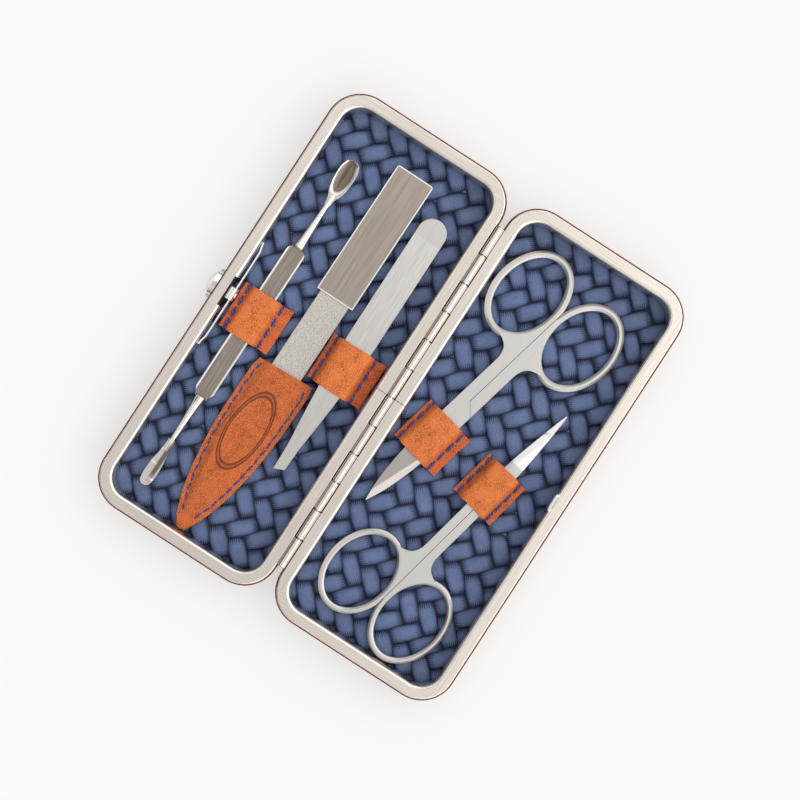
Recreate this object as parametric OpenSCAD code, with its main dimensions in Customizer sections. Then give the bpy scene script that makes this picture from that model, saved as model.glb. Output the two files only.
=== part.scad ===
// Manicure set case lying open flat: two steel-framed leather halves on a piano hinge,
// closed by a push-button latch, with five tools held by straps and a sheath.
// Millimetres, +Z up, hinge along Y. The lid is the half at -X, the base the half at +X.

/* [Case] */
// Width of one frame, across the hinge
frame_w = 60; // [57:0.5:72]
// Length of the frames, along the hinge
frame_l = 144; // [140:1:170]
// Height of the rim above the table
rim_z = 12; // [11.8:0.1:16]
// Outer corner radius of the frames
corner_r = 10.5; // [8:0.5:14]
// Gap left between the two rims when the case is shut
shut_gap = 0.2; // [0.1:0.05:0.4]

/* [Frame] */
// Width of the rim seen from above
rim_w = 4; // [3.6:0.1:5]
// Thickness of the frame's sheet steel
sheet_t = 0.6; // [0.4:0.05:0.8]
// Radius of the rolled inner edge
lip_r = 1; // [0.8:0.1:1.4]
// Radius of the band's outer edge
band_edge_r = 0.5; // [0.3:0.05:0.55]
// Depth of the frame's inner wall
lip_depth = 6; // [4:0.1:6.2]
// Depth of the frame's outer leg, inside the cover
skirt_depth = 2.6; // [2:0.1:3]
// Width of the hairline where the ends of the frame strip meet
seam_w = 0.16; // [0.1:0.02:0.3]
// Depth of that hairline
seam_depth = 0.3; // [0.1:0.05:0.4]

/* [Hinge] */
// Number of knuckles, taken in turn by the two frames
knuckles = 12; // [8:2:16]
// Pitch of the knuckles
knuckle_pitch = 10; // [7:0.5:10.5]
// Outer diameter of the barrel
barrel_d = 2.4; // [2.2:0.1:2.8]
// Diameter of the hinge pin
pin_d = 1.2; // [0.8:0.1:1.4]
// Gap between neighbouring knuckles
knuckle_gap = 0.26; // [0.06:0.02:0.3]
// Gap between the barrel and the edge of each frame
barrel_gap = 0.15; // [0.1:0.05:0.4]

/* [Tray] */
// Thickness of the outer leather
cover_t = 1; // [0.7:0.1:1.2]
// How far the outer leather stands out past the rim
cover_proud = 0.4; // [0.2:0.1:0.5]
// Radius of the cover's lower edge
cover_edge_r = 3; // [2:0.25:4]
// Thickness of the stiff board under the padding
board_t = 1.6; // [1:0.1:1.8]
// Thickness of the padding
padding_t = 1.6; // [1:0.1:1.8]
// Thickness of the embossed lining
lining_t = 1; // [0.7:0.05:1.1]

/* [Latch] */
// Diameter of the button bezel
bezel_d = 9.8; // [8:0.1:10]
// Wall of the button bezel
bezel_wall = 0.4; // [0.3:0.05:0.6]
// How far the bezel stands out of the cover
bezel_proud = 1.5; // [1.2:0.1:2.5]
// How far the domed cap stands out of the bezel
cap_proud = 1.9; // [1:0.1:2.5]
// Length of the cap guided by the bezel
cap_guide = 0.6; // [0.4:0.1:0.8]
// Travel of the button
button_travel = 1.4; // [1.3:0.05:1.5]
// Diameter of the button's stem
stem_d = 1.2; // [1:0.1:1.4]
// Thickness of the leaf spring
spring_t = 0.45; // [0.3:0.05:0.5]
// Height of the leaf spring
spring_h = 2; // [1.6:0.1:2.2]
// Length of the leaf spring
spring_l = 36; // [30:1:44]
// Thickness of the latch plate
plate_t = 0.5; // [0.4:0.05:0.6]
// Width of the latch plate and of its tooth
plate_w = 3.9; // [3:0.1:4]
// Height of the tooth
tooth_h = 1.5; // [1.2:0.1:1.6]
// Width of the notch in the lid's lip, in which the plate moves
notch_w = 10; // [6:0.5:12]
// Thickness of the catch tongue
tongue_t = 0.45; // [0.35:0.05:0.5]
// How far the catch tongue stands above the rim
tongue_rise = 3.2; // [3:0.1:3.4]
// Width of each bar around the tongue's window
tongue_bar = 0.8; // [0.6:0.1:1]

/* [Straps] */
// Width of a strap, along the tool
strap_w = 15.3; // [12:0.1:17]
// Thickness of the strap leather
strap_t = 1.1; // [0.8:0.1:1.2]
// Length over which a strap climbs to the top of its loop
strap_rise = 2; // [1.5:0.1:2.2]
// Reach of the pusher strap past the tool's axis, towards the outer rim and towards the hinge
pusher_strap = [7.6, 9.4]; // [7:0.1:9.6]
// Distance from the mouth of the sheath to the pusher strap
pusher_strap_gap = 1.75; // [1:0.05:6]
// Reach of the tweezers strap past the tool's axis, on the same two sides
tweezers_strap = [8.4, 10.2]; // [8:0.1:10.4]
// Distance from the mouth of the sheath to the tweezers strap
tweezers_strap_gap = 3.15; // [2.5:0.05:6]
// Reach of the nail scissors strap past the tool's axis, on its left and right
nail_strap = [7.9, 9.3]; // [7:0.1:9.6]
// Distance of the nail scissors strap's middle from the screw, towards the blades
nail_strap_drop = 3.8; // [0:0.1:6]
// Reach of the cuticle scissors strap past the tool's axis, on its left and right
cuticle_strap = [7.4, 8]; // [7:0.1:9]
// Distance of the cuticle scissors strap's middle from the screw, towards the rings
cuticle_strap_drop = 0.8; // [0:0.1:4]
// Distance of the cuticle scissors strap's middle from the screw, towards the hinge
cuticle_strap_shift = 1.1; // [0:0.1:1.2]
// Distance of the nail scissors strap's middle from the screw, towards the hinge
nail_strap_shift = 0.5; // [0:0.1:1.2]

/* [Pusher] */
// Distance of the pusher's axis from the outer edge of its frame
pusher_inset = 13.6; // [13:0.05:15]
// Width of the flat grip
grip_w = 6.05; // [5:0.05:7]
// Length of the flat grip
grip_l = 53.6; // [45:0.1:60]
// Thickness of the flat grip
grip_t = 2.2; // [1.6:0.1:2.4]
// Distance of the grip's middle below the middle of the case
grip_drop = 4.3; // [0:0.1:8]
// Lean of the spoon's end towards the hinge, in degrees
pusher_lean = 0.4; // [0:0.1:0.6]
// Length from the grip to the end of the spoon
spoon_reach = 31.2; // [24:0.1:33]
// Widest part of the spoon
spoon_w = 5.85; // [4:0.05:7]
// Half widths of the spoon, as parts of its width, at fractions of that length
spoon_half = [[0.21, 0.575], [0.36, 0.64], [0.445, 0.7], [0.475, 0.765], [0.5, 0.83], [0.48, 0.9],
    [0.38, 0.96], [0.28, 0.98], [0.1, 1]];
// Length from the grip to the end of the paddle
paddle_reach = 31.5; // [24:0.1:31.6]
// Widest part of the paddle
paddle_w = 4; // [3:0.1:5]
// Half widths of the paddle, as parts of its width, at fractions of that length
paddle_half = [[0.25, 0.5], [0.3, 0.61], [0.37, 0.68], [0.45, 0.74], [0.49, 0.81], [0.5, 0.88],
    [0.46, 0.935], [0.4, 0.97], [0.32, 0.985], [0.12, 1]];
// Diameter of the thinnest part of the necks
neck_d = 1.8; // [1.4:0.1:2.2]
// Diameter of the necks where they leave the grip
neck_root_d = 3.7; // [3:0.1:4]
// Thickness of the spoon and of the paddle
tip_t = 0.9; // [0.7:0.1:1.2]

/* [File] */
// Distance of the file's axis from the middle of its frame
file_shift = 0.95; // [0:0.05:2.5]
// Lean of the handle's end towards the hinge, in degrees
file_lean = 0.5; // [0:0.1:1]
// Width of the handle
handle_w = 12.6; // [11:0.1:13]
// Length of the handle
handle_l = 44.2; // [36:0.1:46]
// Thickness of the handle
handle_t = 1.6; // [1.4:0.1:2]
// Radius of the handle's corners
handle_corner = 0.8; // [0.5:0.1:3]
// Width of the blade
blade_w = 10; // [8:0.1:10.4]
// Length over which the blade narrows to its point
point_l = 26; // [20:1:30]
// Gap between the blade's point and the sheath's point
point_gap = 12; // [11:0.5:20]
// Thickness of the blade
blade_t = 0.8; // [0.6:0.05:1]
// Length of the blade held inside the handle
tang_l = 8; // [5:0.5:12]
// Gap between the end of the handle and the rim
file_end_gap = 8.3; // [4:0.1:14]

/* [Sheath] */
// Length of the sheath
sheath_l = 56; // [50:0.5:58]
// Half widths of the sheath at fractions of its length
sheath_half = [[0, 7.9], [0.014, 9.1], [0.06, 9.7], [0.3, 9.65], [0.48, 9.05], [0.66, 7.7], [0.8, 6],
    [0.9, 4.1], [0.97, 2.3], [1, 1.5]];
// Lean of the sheath's point towards the outer rim, in degrees
sheath_lean = 1.6; // [0:0.1:2]
// Thickness of the sheath's leather
sheath_t = 0.85; // [0.6:0.05:0.9]
// Width of the stitched border
sheath_border = 4.2; // [2.5:0.1:4.3]
// Half lengths of the plain pressed oval on the sheath
sheath_oval = [6.2, 14];
// Distance of the oval's middle from the sheath's mouth
oval_drop = 20.5; // [18:0.5:24]

/* [Tweezers] */
// Distance of the tweezers' axis from the hinge side of its frame
tweezers_inset = 15; // [14.5:0.1:17]
// Length of the tweezers
tweezers_l = 89; // [78:0.5:92]
// Width of the arms
arm_w = 9; // [8:0.1:9.2]
// Thickness of one arm
arm_t = 1; // [0.8:0.05:1.1]
// Gap between the tips at rest
tip_gap = 1.6; // [1:0.1:1.8]
// How far the arms bow apart between the joint and the tips
arm_bow = 1.5; // [1:0.1:1.6]
// Length of the joint that holds the arms together
joint_l = 7; // [5:0.5:10]
// Width of the slanted tips
slant_w = 3.1; // [2:0.1:4]
// Distance of the joint's end above the middle of the case
tweezers_top = 52.1; // [46:0.1:56]

/* [Scissors] */
// Thickness of the scissors' shanks
shank_t = 2.8; // [2.6:0.1:3]
// Gap between the two halves where they cross
lap_gap = 0.08; // [0.04:0.02:0.1]
// Step from the shanks down to the crossing
lap_step = 0.3; // [0.1:0.05:0.4]
// Diameter of the screw
screw_d = 2.2; // [1.8:0.1:2.6]
// Diameter of the screw's head
head_d = 4.2; // [3.4:0.1:5]
// Height of the screw's head
head_h = 0.6; // [0.4:0.05:0.7]
// How far the rings are ground flat where they meet
ring_flat = 0.45; // [0.1:0.05:0.6]

/* [Nail scissors] */
// Tilt from the hinge line, in degrees
nail_tilt = 13.6; // [12:0.1:15]
// Distance of the screw from the hinge side of its frame
nail_inset = 16.35; // [15.6:0.05:18]
// Gap between the rings and the rim at their nearest
nail_rim_gap = 4.55; // [3.6:0.05:7]
// Length of the blades
nail_blade_l = 31; // [26:0.5:32]
// Half widths of the blades at fractions of their length
nail_blade = [[0, 3.7], [0.25, 3.6], [0.45, 3.22], [0.58, 2.82], [0.71, 2.27], [0.84, 1.5], [0.935, 0.7],
    [1, 0.12]];
// Half width across both shanks
nail_shank = 3.7; // [3:0.05:4]
// How far their crossing reaches past the screw, towards the rings
nail_lap = 12; // [10:0.1:13]
// Distance from the screw to the middle of the rings
nail_ring_y = 46.7; // [42:0.1:48]
// Half length of a ring, half width of a ring and its thickness
nail_ring = [15.4, 11.4, 2.5]; // [2:0.05:15.6]

/* [Cuticle scissors] */
// Tilt from the hinge line, in degrees
cuticle_tilt = 12.4; // [12:0.1:14]
// Distance of the screw from the middle of its frame, towards the outer rim
cuticle_shift = 9.5; // [7:0.1:9.6]
// Gap between the rings and the rim at their nearest
cuticle_rim_gap = 0.3; // [0.3:0.05:2]
// Length of the blades
cuticle_blade_l = 31; // [27:0.5:33]
// Half widths of the blades at fractions of their length
cuticle_blade = [[0, 2.65], [0.3, 2.25], [0.45, 1.9], [0.6, 1.5], [0.76, 1.02], [0.93, 0.45], [1, 0.12]];
// Half width across both shanks
cuticle_shank = 2.6; // [2.4:0.05:3.2]
// How far their crossing reaches past the screw, towards the rings
cuticle_lap = 8.2; // [7:0.1:10]
// Distance from the screw to the middle of the rings
cuticle_ring_y = 45.5; // [42:0.1:46.5]
// Half length of a ring, half width of a ring and its thickness
cuticle_ring = [14.65, 11, 2.1]; // [2:0.05:15.6]

/* [Hidden] */
// Gap between fixed pieces that touch
seat = 0.05;
// Radial clearance of a part that turns or slides
run = 0.05;
// Gap between a tool and what it lies on or under
lie = 0.1;
// Gap between a tool's top and the strap over it
under_strap = 0.2;
// Gap on each side of what passes through a slot
slot_gap = 0.15;
// Room behind the frame's wall for the end of the tooth
tooth_room = 0.4;
// Gap between the bezel and the frame's band above it
bezel_gap = 0.35;
// Half of the gap between the rings of a closed pair of scissors
ring_gap = 0.08;
// Gap between the ground crossing of one half and the shank of the other
step_gap = 0.12;
// Smoothness of circles
$fn = 64;

// The frames stand either side of the hinge
edge_in = barrel_d / 2 + barrel_gap;
edge_out = edge_in + frame_w;
half_l = frame_l / 2;
inner_out = edge_out - rim_w;
inner_l = half_l - rim_w;
axis_z = rim_z + shut_gap / 2;
cover_out = edge_out + cover_proud;
// The button stands out on one side only, so the middle of the whole lies off the hinge
origin_x = (bezel_proud + cap_proud) / 2;

// Heights of the layers
board_z = cover_t;
padding_z = board_z + board_t;
lining_z = padding_z + padding_t;
floor_z = lining_z + lining_t;
tool_z = floor_z + lie;
leg_u = cover_t - cover_proud + seat;
wall_u = leg_u + sheet_t + seat;
board_u = rim_w - sheet_t - seat;

// Latch, measured outwards from the hinge
button_z = rim_z - sheet_t - seat - bezel_gap - bezel_d / 2;
bezel_back = cover_out - cover_t;
cap_back = bezel_back + bezel_wall + button_travel + lie;
cap_top = cover_out + bezel_proud + cap_proud;
dome_x = cover_out + bezel_proud - 0.3;
tongue_x1 = inner_out - slot_gap;
tongue_x0 = tongue_x1 - tongue_t;
spring_x1 = tongue_x0 - slot_gap;
spring_x0 = spring_x1 - spring_t;
plate_x0 = spring_x0 - plate_t;
tooth_x1 = tongue_x0 - lie + button_travel - run;
tongue_top = rim_z + tongue_rise;
tongue_foot = rim_z - 3.4;
window_top = tongue_top - tongue_bar;
// The tooth sits in the window of the shut tongue, so its height is counted back from the hinge
tooth_z = 2 * axis_z - window_top + slot_gap;
tooth_top = tooth_z + tooth_h;
stem_z = 2 * axis_z - tongue_top - stem_d / 2 - 0.5;
window_w = plate_w + 0.4;
tongue_w = window_w + 2 * tongue_bar;
plate_z = stem_z - 1;

// Tools in the lid, measured from the hinge
pusher_x = edge_out - pusher_inset;
file_x = edge_in + frame_w / 2 - file_shift;
tweezers_x = edge_in + tweezers_inset;
grip_y = -grip_drop;
sheath_tip_y = -(inner_l - 0.4);
sheath_y = sheath_tip_y + sheath_l;
blade_z = tool_z + sheath_t + lie;
handle_y = inner_l - file_end_gap - handle_l;
blade_seen = handle_y - sheath_y;
blade_l = handle_y - sheath_tip_y - point_gap;
handle_z = blade_z + blade_t / 2 - handle_t / 2;
arm_mid_z = tool_z + arm_t + tip_gap / 4 + arm_bow / 2 + 0.15;
neck_z = tool_z + grip_t / 2 + 0.75;

// Tools in the base
// How far a pair reaches from its screw towards the rim that its rings point to
pair_reach = function(ring, ring_y, tilt) (ring[1] - ring_flat) * sin(tilt) + ring_y * cos(tilt)
    + sqrt(pow(ring[0] * cos(tilt), 2) + pow(ring[1] * sin(tilt), 2));
nail_x = edge_in + nail_inset;
nail_y = inner_l - nail_rim_gap - pair_reach(nail_ring, nail_ring_y, nail_tilt);
cuticle_x = edge_in + frame_w / 2 + cuticle_shift;
cuticle_y = -inner_l + cuticle_rim_gap + pair_reach(cuticle_ring, cuticle_ring_y, cuticle_tilt);
lap_z = tool_z + shank_t / 2 - 0.1;
lap_top = tool_z + shank_t - lap_step;
screw_top = lap_top + head_h;

// Point t of the way from b to c on a smooth curve through a, b, c and d
function curve_point(a, b, c, d, t) = 0.5 * (2 * b + (c - a) * t + (2 * a - 5 * b + 4 * c - d) * t * t
    + (3 * b - a - 3 * c + d) * t * t * t);

// Smooth curve through a list of points, with n steps between neighbours
function smooth(p, n = 4) = [
    for (i = [0 : len(p) - 2])
        for (k = [0 : n - 1])
            curve_point(p[max(i - 1, 0)], p[i], p[i + 1], p[min(i + 2, len(p) - 1)], k / n),
    p[len(p) - 1]
];

// A list of points in reverse order
function reversed(p) = [for (i = [len(p) - 1 : -1 : 0]) p[i]];

// Closed outline from the points of its right side, listed upwards or downwards
function outline(p) = let (
    up = p[0][1] < p[len(p) - 1][1] ? p : reversed(p),
    left = [for (q = up) [-q[0], q[1]]]
) concat(up, reversed(left));

// Value that eases from 0 to 1 as t goes from 0 to 1
function ease(t) = let (u = min(max(t, 0), 1)) u * u * (3 - 2 * u);

// Puts the hinge where the middle of the whole asks for it
module placed() translate([origin_x, 0, 0]) children();

// Places a half: as drawn for the base, mirrored for the lid
module half(side) placed() mirror([side < 0 ? 1 : 0, 0, 0]) children();

// Rounded rectangle in plan, a distance u inside the outer edge of the frame
module plan_inset(u, grow = 0) {
    r = max(corner_r - u, 0.5);
    x0 = edge_in + u - grow;
    x1 = edge_out - u + grow;
    y = half_l - u + grow;
    translate([x0 + r, -y]) square([x1 - x0 - 2 * r, 2 * y]);
    translate([x0, -y + r]) square([x1 - x0, 2 * (y - r)]);
    for (cx = [x0 + r, x1 - r])
        for (cy = [-y + r, y - r])
            translate([cx, cy]) circle(r);
}

// Sweeps a section round the edge of a half. The section's x is minus the distance inside the edge
module around() {
    straight = [frame_l - 2 * corner_r, frame_w - 2 * corner_r];
    corners = [[edge_out - corner_r, half_l - corner_r], [edge_in + corner_r, half_l - corner_r],
        [edge_in + corner_r, corner_r - half_l], [edge_out - corner_r, corner_r - half_l]];
    for (i = [0 : 3]) {
        translate(corners[i]) rotate([0, 0, 90 * i]) rotate_extrude(angle = 90)
            translate([corner_r, 0]) children();
        translate(corners[i]) rotate([90, 0, 90 * i]) linear_extrude(straight[i % 2])
            translate([corner_r, 0]) children();
    }
}

// Block from (u0, z0) to (u1, z1) in a swept section, with a round lower outer corner
module edge_block(u0, z0, u1, z1, r) {
    translate([-u1, z0]) square([u1 - u0 - r, z1 - z0]);
    translate([-u1, z0 + r]) square([u1 - u0, z1 - z0 - r]);
    translate([-u0 - r, z0 + r]) circle(r);
}

// Section of the channel-shaped frame: flat band, rolled lip, inner wall and outer leg
module frame_section() {
    translate([lip_r - rim_w, rim_z - sheet_t]) square([rim_w - lip_r - band_edge_r, sheet_t]);
    translate([-band_edge_r, rim_z - sheet_t]) square([band_edge_r, sheet_t - band_edge_r]);
    translate([-band_edge_r, rim_z - band_edge_r]) intersection() {
        circle(band_edge_r, $fn = 24);
        translate([-0.01, -0.01]) square(band_edge_r);
    }
    translate([lip_r - rim_w, rim_z - lip_r]) intersection() {
        difference() {
            circle(lip_r);
            circle(lip_r - sheet_t);
        }
        translate([-lip_r, 0]) square(lip_r);
    }
    translate([-rim_w, rim_z - lip_depth]) square([sheet_t, lip_depth - lip_r]);
    translate([-leg_u - sheet_t, rim_z - skirt_depth]) square([sheet_t, skirt_depth]);
}

// Knuckles of one frame with the webs that carry them, taking every second place
module knuckle_row(first, bore_r) {
    y_top = knuckles * knuckle_pitch / 2;
    for (i = [first : 2 : knuckles - 1])
        translate([0, y_top - (i + 1) * knuckle_pitch + knuckle_gap / 2, 0]) difference() {
            union() {
                translate([0, 0, axis_z]) rotate([-90, 0, 0])
                    cylinder(h = knuckle_pitch - knuckle_gap, d = barrel_d);
                translate([0, 0, rim_z - sheet_t])
                    cube([edge_in + sheet_t, knuckle_pitch - knuckle_gap, sheet_t]);
            }
            translate([0, -1, axis_z]) rotate([-90, 0, 0]) cylinder(h = knuckle_pitch + 2, r = bore_r);
        }
}

// A frame with its knuckles and the hairline where the strip's ends meet
module frame_half(first, bore_r) difference() {
    union() {
        around() frame_section();
        knuckle_row(first, bore_r);
    }
    translate([edge_in + barrel_gap, -seam_w / 2, rim_z - seam_depth])
        cube([rim_w + 0.1, seam_w, seam_depth + 1]);
}

// Outer leather: a shallow tray with rounded lower edges
module cover_shell() {
    depth = rim_w + 1;
    top = rim_z - sheet_t - seat;
    around() difference() {
        edge_block(-cover_proud, 0, depth, top, cover_edge_r);
        edge_block(cover_t - cover_proud, cover_t, depth + 1, top + 1, cover_edge_r - cover_t);
    }
    linear_extrude(cover_t) plan_inset(depth);
}

// Stiff board tray: its wall fills the channel of the frame
module board_tray() {
    depth = rim_w + 1;
    top = rim_z - sheet_t - seat;
    outer = cover_t - cover_proud + seat;
    around() difference() {
        edge_block(outer, board_z + seat, depth, top, cover_edge_r - cover_t);
        translate([-depth - 1, padding_z]) square([depth + 1 - board_u, rim_z]);
        translate([-wall_u, rim_z - skirt_depth - seat]) square([wall_u, rim_z]);
        translate([-rim_w, rim_z - lip_r - seat]) square([lip_r, rim_z]);
    }
    translate([0, 0, board_z + seat]) linear_extrude(board_t - seat) plan_inset(depth);
}

// Where a bore runs inwards through the side of the lid
module side_bore(x0, x1, z, r) translate([x0, 0, z]) rotate([0, 90, 0]) cylinder(h = x1 - x0, r = r);

module base_frame() color("#d6cbc2") half(1) frame_half(0, pin_d / 2 + 0.01);

module lid_frame() color("#d6cbc2") half(-1) difference() {
    frame_half(1, pin_d / 2 + run);
    translate([inner_out - slot_gap, -notch_w / 2, rim_z - lip_depth - slot_gap])
        cube([slot_gap + sheet_t + tooth_room, notch_w, lip_depth + 2 * slot_gap]);
}

module base_cover() color("#8a3a2a") half(1) cover_shell();

module lid_cover() color("#8a3a2a") half(-1) difference() {
    cover_shell();
    side_bore(bezel_back - cover_t / 2, cover_out + cover_t, button_z, bezel_d / 2 + seat);
}

module base_board() color("#9a7b55") half(1) board_tray();

module lid_board() color("#9a7b55") half(-1) difference() {
    board_tray();
    side_bore(inner_out - sheet_t, bezel_back + cover_t, stem_z, stem_d / 2 + 2 * run);
    // room for the tooth behind the frame's inner wall
    translate([inner_out, -notch_w / 2, stem_z]) cube([sheet_t + tooth_room, notch_w, rim_z]);
}

module padding_slab() translate([0, 0, padding_z + seat / 2]) linear_extrude(padding_t - seat)
    plan_inset(board_u + seat);

module lining_sheet() translate([0, 0, lining_z]) linear_extrude(lining_t) plan_inset(board_u + seat);

module base_padding() color("#e8e2d0") half(1) padding_slab();

module lid_padding() color("#e8e2d0") half(-1) padding_slab();

module base_lining() color("#5a6a85") half(1) lining_sheet();

module lid_lining() color("#5a6a85") half(-1) lining_sheet();

module hinge_pin() color("silver") placed() translate([0, -knuckles * knuckle_pitch / 2, axis_z])
    rotate([-90, 0, 0]) cylinder(h = knuckles * knuckle_pitch, d = pin_d);

// Catch tongue: a windowed blade welded inside the base frame's wall
module catch_tongue() color("silver") half(1) difference() {
    union() {
        translate([tongue_x0, -tongue_w / 2, tongue_foot])
            cube([tongue_t, tongue_w, tongue_top - tongue_foot - 1]);
        for (y = [-1, 1])
            translate([tongue_x0, y * (tongue_w / 2 - 1), tongue_top - 1]) rotate([0, 90, 0])
                cylinder(h = tongue_t, r = 1);
        translate([tongue_x0, 1 - tongue_w / 2, tongue_top - 1]) cube([tongue_t, tongue_w - 2, 1]);
        translate([tongue_x0, -tongue_w / 2, tongue_foot])
            cube([inner_out - tongue_x0, tongue_w, 1.8]);
    }
    translate([tongue_x0 - 1, -window_w / 2, rim_z + shut_gap])
        cube([tongue_t + 2, window_w, window_top - rim_z - shut_gap]);
}

// Thin cup that the button slides in, with a hole for the stem
module button_bezel() color("silver") half(-1) difference() {
    side_bore(bezel_back, cover_out + bezel_proud, button_z, bezel_d / 2);
    side_bore(bezel_back + bezel_wall, cover_out + bezel_proud + 1, button_z, bezel_d / 2 - bezel_wall);
    side_bore(bezel_back - 1, bezel_back + 1, stem_z, stem_d / 2 + run);
}

// Domed push button: a short cylinder with a cap cut from a sphere
module button_cap() color("silver") half(-1) {
    r = bezel_d / 2 - bezel_wall - run;
    dome_h = cap_top - dome_x;
    dome_r = (r * r + dome_h * dome_h) / (2 * dome_h);
    translate([0, 0, button_z]) rotate([0, 90, 0]) rotate_extrude() {
        translate([0, cap_back]) square([r, dome_x - cap_back]);
        intersection() {
            translate([0, cap_top - dome_r]) circle(dome_r);
            translate([0, dome_x - cap_guide / 2]) square([r, dome_h + 1]);
        }
    }
}

// Stem from the button through the side to the latch plate, with a riveted end
module button_stem() color("silver") half(-1) {
    side_bore(plate_x0, cap_back, stem_z, stem_d / 2);
    side_bore(plate_x0 - 0.3, plate_x0, stem_z, stem_d / 2 + 0.4);
}

// Leaf spring on edge: flat in the middle, with ends bent out to bear on the frame's wall
module latch_spring() color("silver") half(-1) difference() {
    reach = inner_out - seat - spring_x1;
    steps = [for (i = [-12 : 12]) i / 12];
    bend = function(t) reach * ease((abs(t) - 0.8) / 0.2);
    translate([0, 0, stem_z - spring_h / 2]) linear_extrude(spring_h) polygon(concat(
        [for (t = steps) [spring_x0 + bend(t), t * spring_l / 2]],
        [for (i = [len(steps) - 1 : -1 : 0]) [spring_x1 + bend(steps[i]), steps[i] * spring_l / 2]]
    ));
    side_bore(spring_x0 - 1, spring_x1 + 1, stem_z, stem_d / 2 + run);
}

// Latch plate behind the spring, with a ramped tooth bent out over the spring
module latch_plate() color("silver") half(-1) difference() {
    union() {
        translate([plate_x0, -plate_w / 2, plate_z]) cube([plate_t, plate_w, tooth_top - plate_z]);
        translate([0, plate_w / 2, 0]) rotate([90, 0, 0]) linear_extrude(plate_w) polygon([
            [plate_x0, tooth_z],
            [tooth_x1, tooth_z],
            [tooth_x1, tooth_z + tooth_h * 0.5],
            [spring_x1, tooth_top],
            [plate_x0, tooth_top]
        ]);
    }
    side_bore(plate_x0 - 1, spring_x0 + 0.01, stem_z, stem_d / 2 + 0.01);
}

// Strap over a tool: flat ends on the lining and a raised loop between them
// reach = how far it goes to either side of the tool, loop = half width of the loop, top = height of the tool
module strap(reach, loop, top) {
    rise = top + under_strap - floor_z;
    low = seat;
    xs = concat([-reach[0]], [for (i = [0 : 8]) -loop - strap_rise + i * strap_rise / 8],
        [for (i = [0 : 8]) loop + i * strap_rise / 8], [reach[1]]);
    lift = function(x) low + rise * (1 - ease((abs(x) - loop) / strap_rise));
    translate([0, strap_w / 2, floor_z]) rotate([90, 0, 0]) linear_extrude(strap_w) polygon(concat(
        [for (x = xs) [x, lift(x)]],
        [for (i = [len(xs) - 1 : -1 : 0]) [xs[i], lift(xs[i]) + strap_t]]
    ));
}

module pusher_strap_loop() color("#d9763f") placed()
    translate([-pusher_x, sheath_y + pusher_strap_gap + strap_w / 2, 0])
        strap(pusher_strap, grip_w / 2 + 0.6, tool_z + grip_t);

module tweezers_strap_loop() color("#d9763f") placed()
    translate([-tweezers_x, sheath_y + tweezers_strap_gap + strap_w / 2, 0])
        strap(tweezers_strap, arm_w / 2 - 0.1, 2 * arm_mid_z - tool_z);

module nail_strap_loop() color("#d9763f") nail_placed()
    translate([-nail_strap_shift, -nail_strap_drop, 0])
        strap(nail_strap, nail_shank + nail_strap_shift, screw_top);

module cuticle_strap_loop() color("#d9763f") cuticle_placed()
    translate([cuticle_strap_shift, cuticle_strap_drop, 0])
        strap([cuticle_strap[1], cuticle_strap[0]], cuticle_shank + cuticle_strap_shift, screw_top);

// Outline of the sheath, from its mouth at the origin down to its point, drawn in by a border
module sheath_plan(border = 0) {
    drawn_l = sheath_l - 1.4 * border;
    side = [for (s = sheath_half) [max(s[1] - border, 0.3), -border * 0.6 - s[0] * drawn_l]];
    polygon(outline(smooth(side, 3)));
}

module sheath_placed() placed() translate([-file_x, sheath_y, 0]) rotate([0, 0, -sheath_lean]) children();

module sheath_back() color("#c9683a") sheath_placed() translate([0, 0, floor_z + seat])
    linear_extrude(sheath_t) sheath_plan();

// Front of the sheath: stitched flat at its border, raised over the blade, with a plain pressed oval
module sheath_front() color("#d9763f") sheath_placed() {
    z0 = floor_z + seat + sheath_t;
    rise = blade_z + blade_t + lie + 0.1 - z0;
    oval = [for (i = [0 : 35]) [sheath_oval[0] * cos(i * 10), sheath_oval[1] * sin(i * 10) - oval_drop]];
    difference() {
        union() {
            translate([0, 0, z0]) linear_extrude(sheath_t) sheath_plan();
            hull() {
                translate([0, 0, z0]) linear_extrude(0.2) sheath_plan(sheath_border * 0.45);
                translate([0, 0, z0 + rise + sheath_t - 0.2]) linear_extrude(0.2) sheath_plan(sheath_border);
            }
        }
        rotate([0, 0, sheath_lean - file_lean]) translate([0, blade_seen, z0 - 1])
            linear_extrude(rise + 1) blade_plan(0.3);
        translate([0, 0, z0 + rise + sheath_t - 0.15]) linear_extrude(1) polygon(oval);
    }
}

// The file leans about the middle of the sheath's mouth
module file_placed(z) placed() translate([-file_x, sheath_y, z]) rotate([0, 0, -file_lean])
    translate([0, blade_seen, 0]) children();

// Handle of the file: a flat plate with round corners and a slot for the blade
module file_handle() color("#cfc8bf") file_placed(handle_z) difference() {
    linear_extrude(handle_t) {
        translate([-handle_w / 2, 0]) square([handle_w, handle_l - handle_corner]);
        translate([handle_corner - handle_w / 2, 0]) square([handle_w - 2 * handle_corner, handle_l]);
        for (x = [-1, 1])
            translate([x * (handle_w / 2 - handle_corner), handle_l - handle_corner]) circle(handle_corner);
    }
    translate([-blade_w / 2 - seat, -1, (handle_t - blade_t) / 2 - seat])
        cube([blade_w + 2 * seat, tang_l + 1 + seat, blade_t + 2 * seat]);
}

// Plan of the file's blade, down from its tang to its pointed end, grown all round
module blade_plan(grow = 0) {
    end = -blade_l - grow;
    polygon(outline(concat([[blade_w / 2 + grow, tang_l]], smooth([[blade_w / 2 + grow, end + point_l],
        [blade_w * 0.42 + grow, end + point_l * 0.6], [blade_w * 0.22 + grow, end + point_l * 0.2],
        [0.4 + grow, end]], 4))));
}

module file_blade() color("#b9b6b2") file_placed(blade_z) linear_extrude(blade_t) blade_plan();

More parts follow.
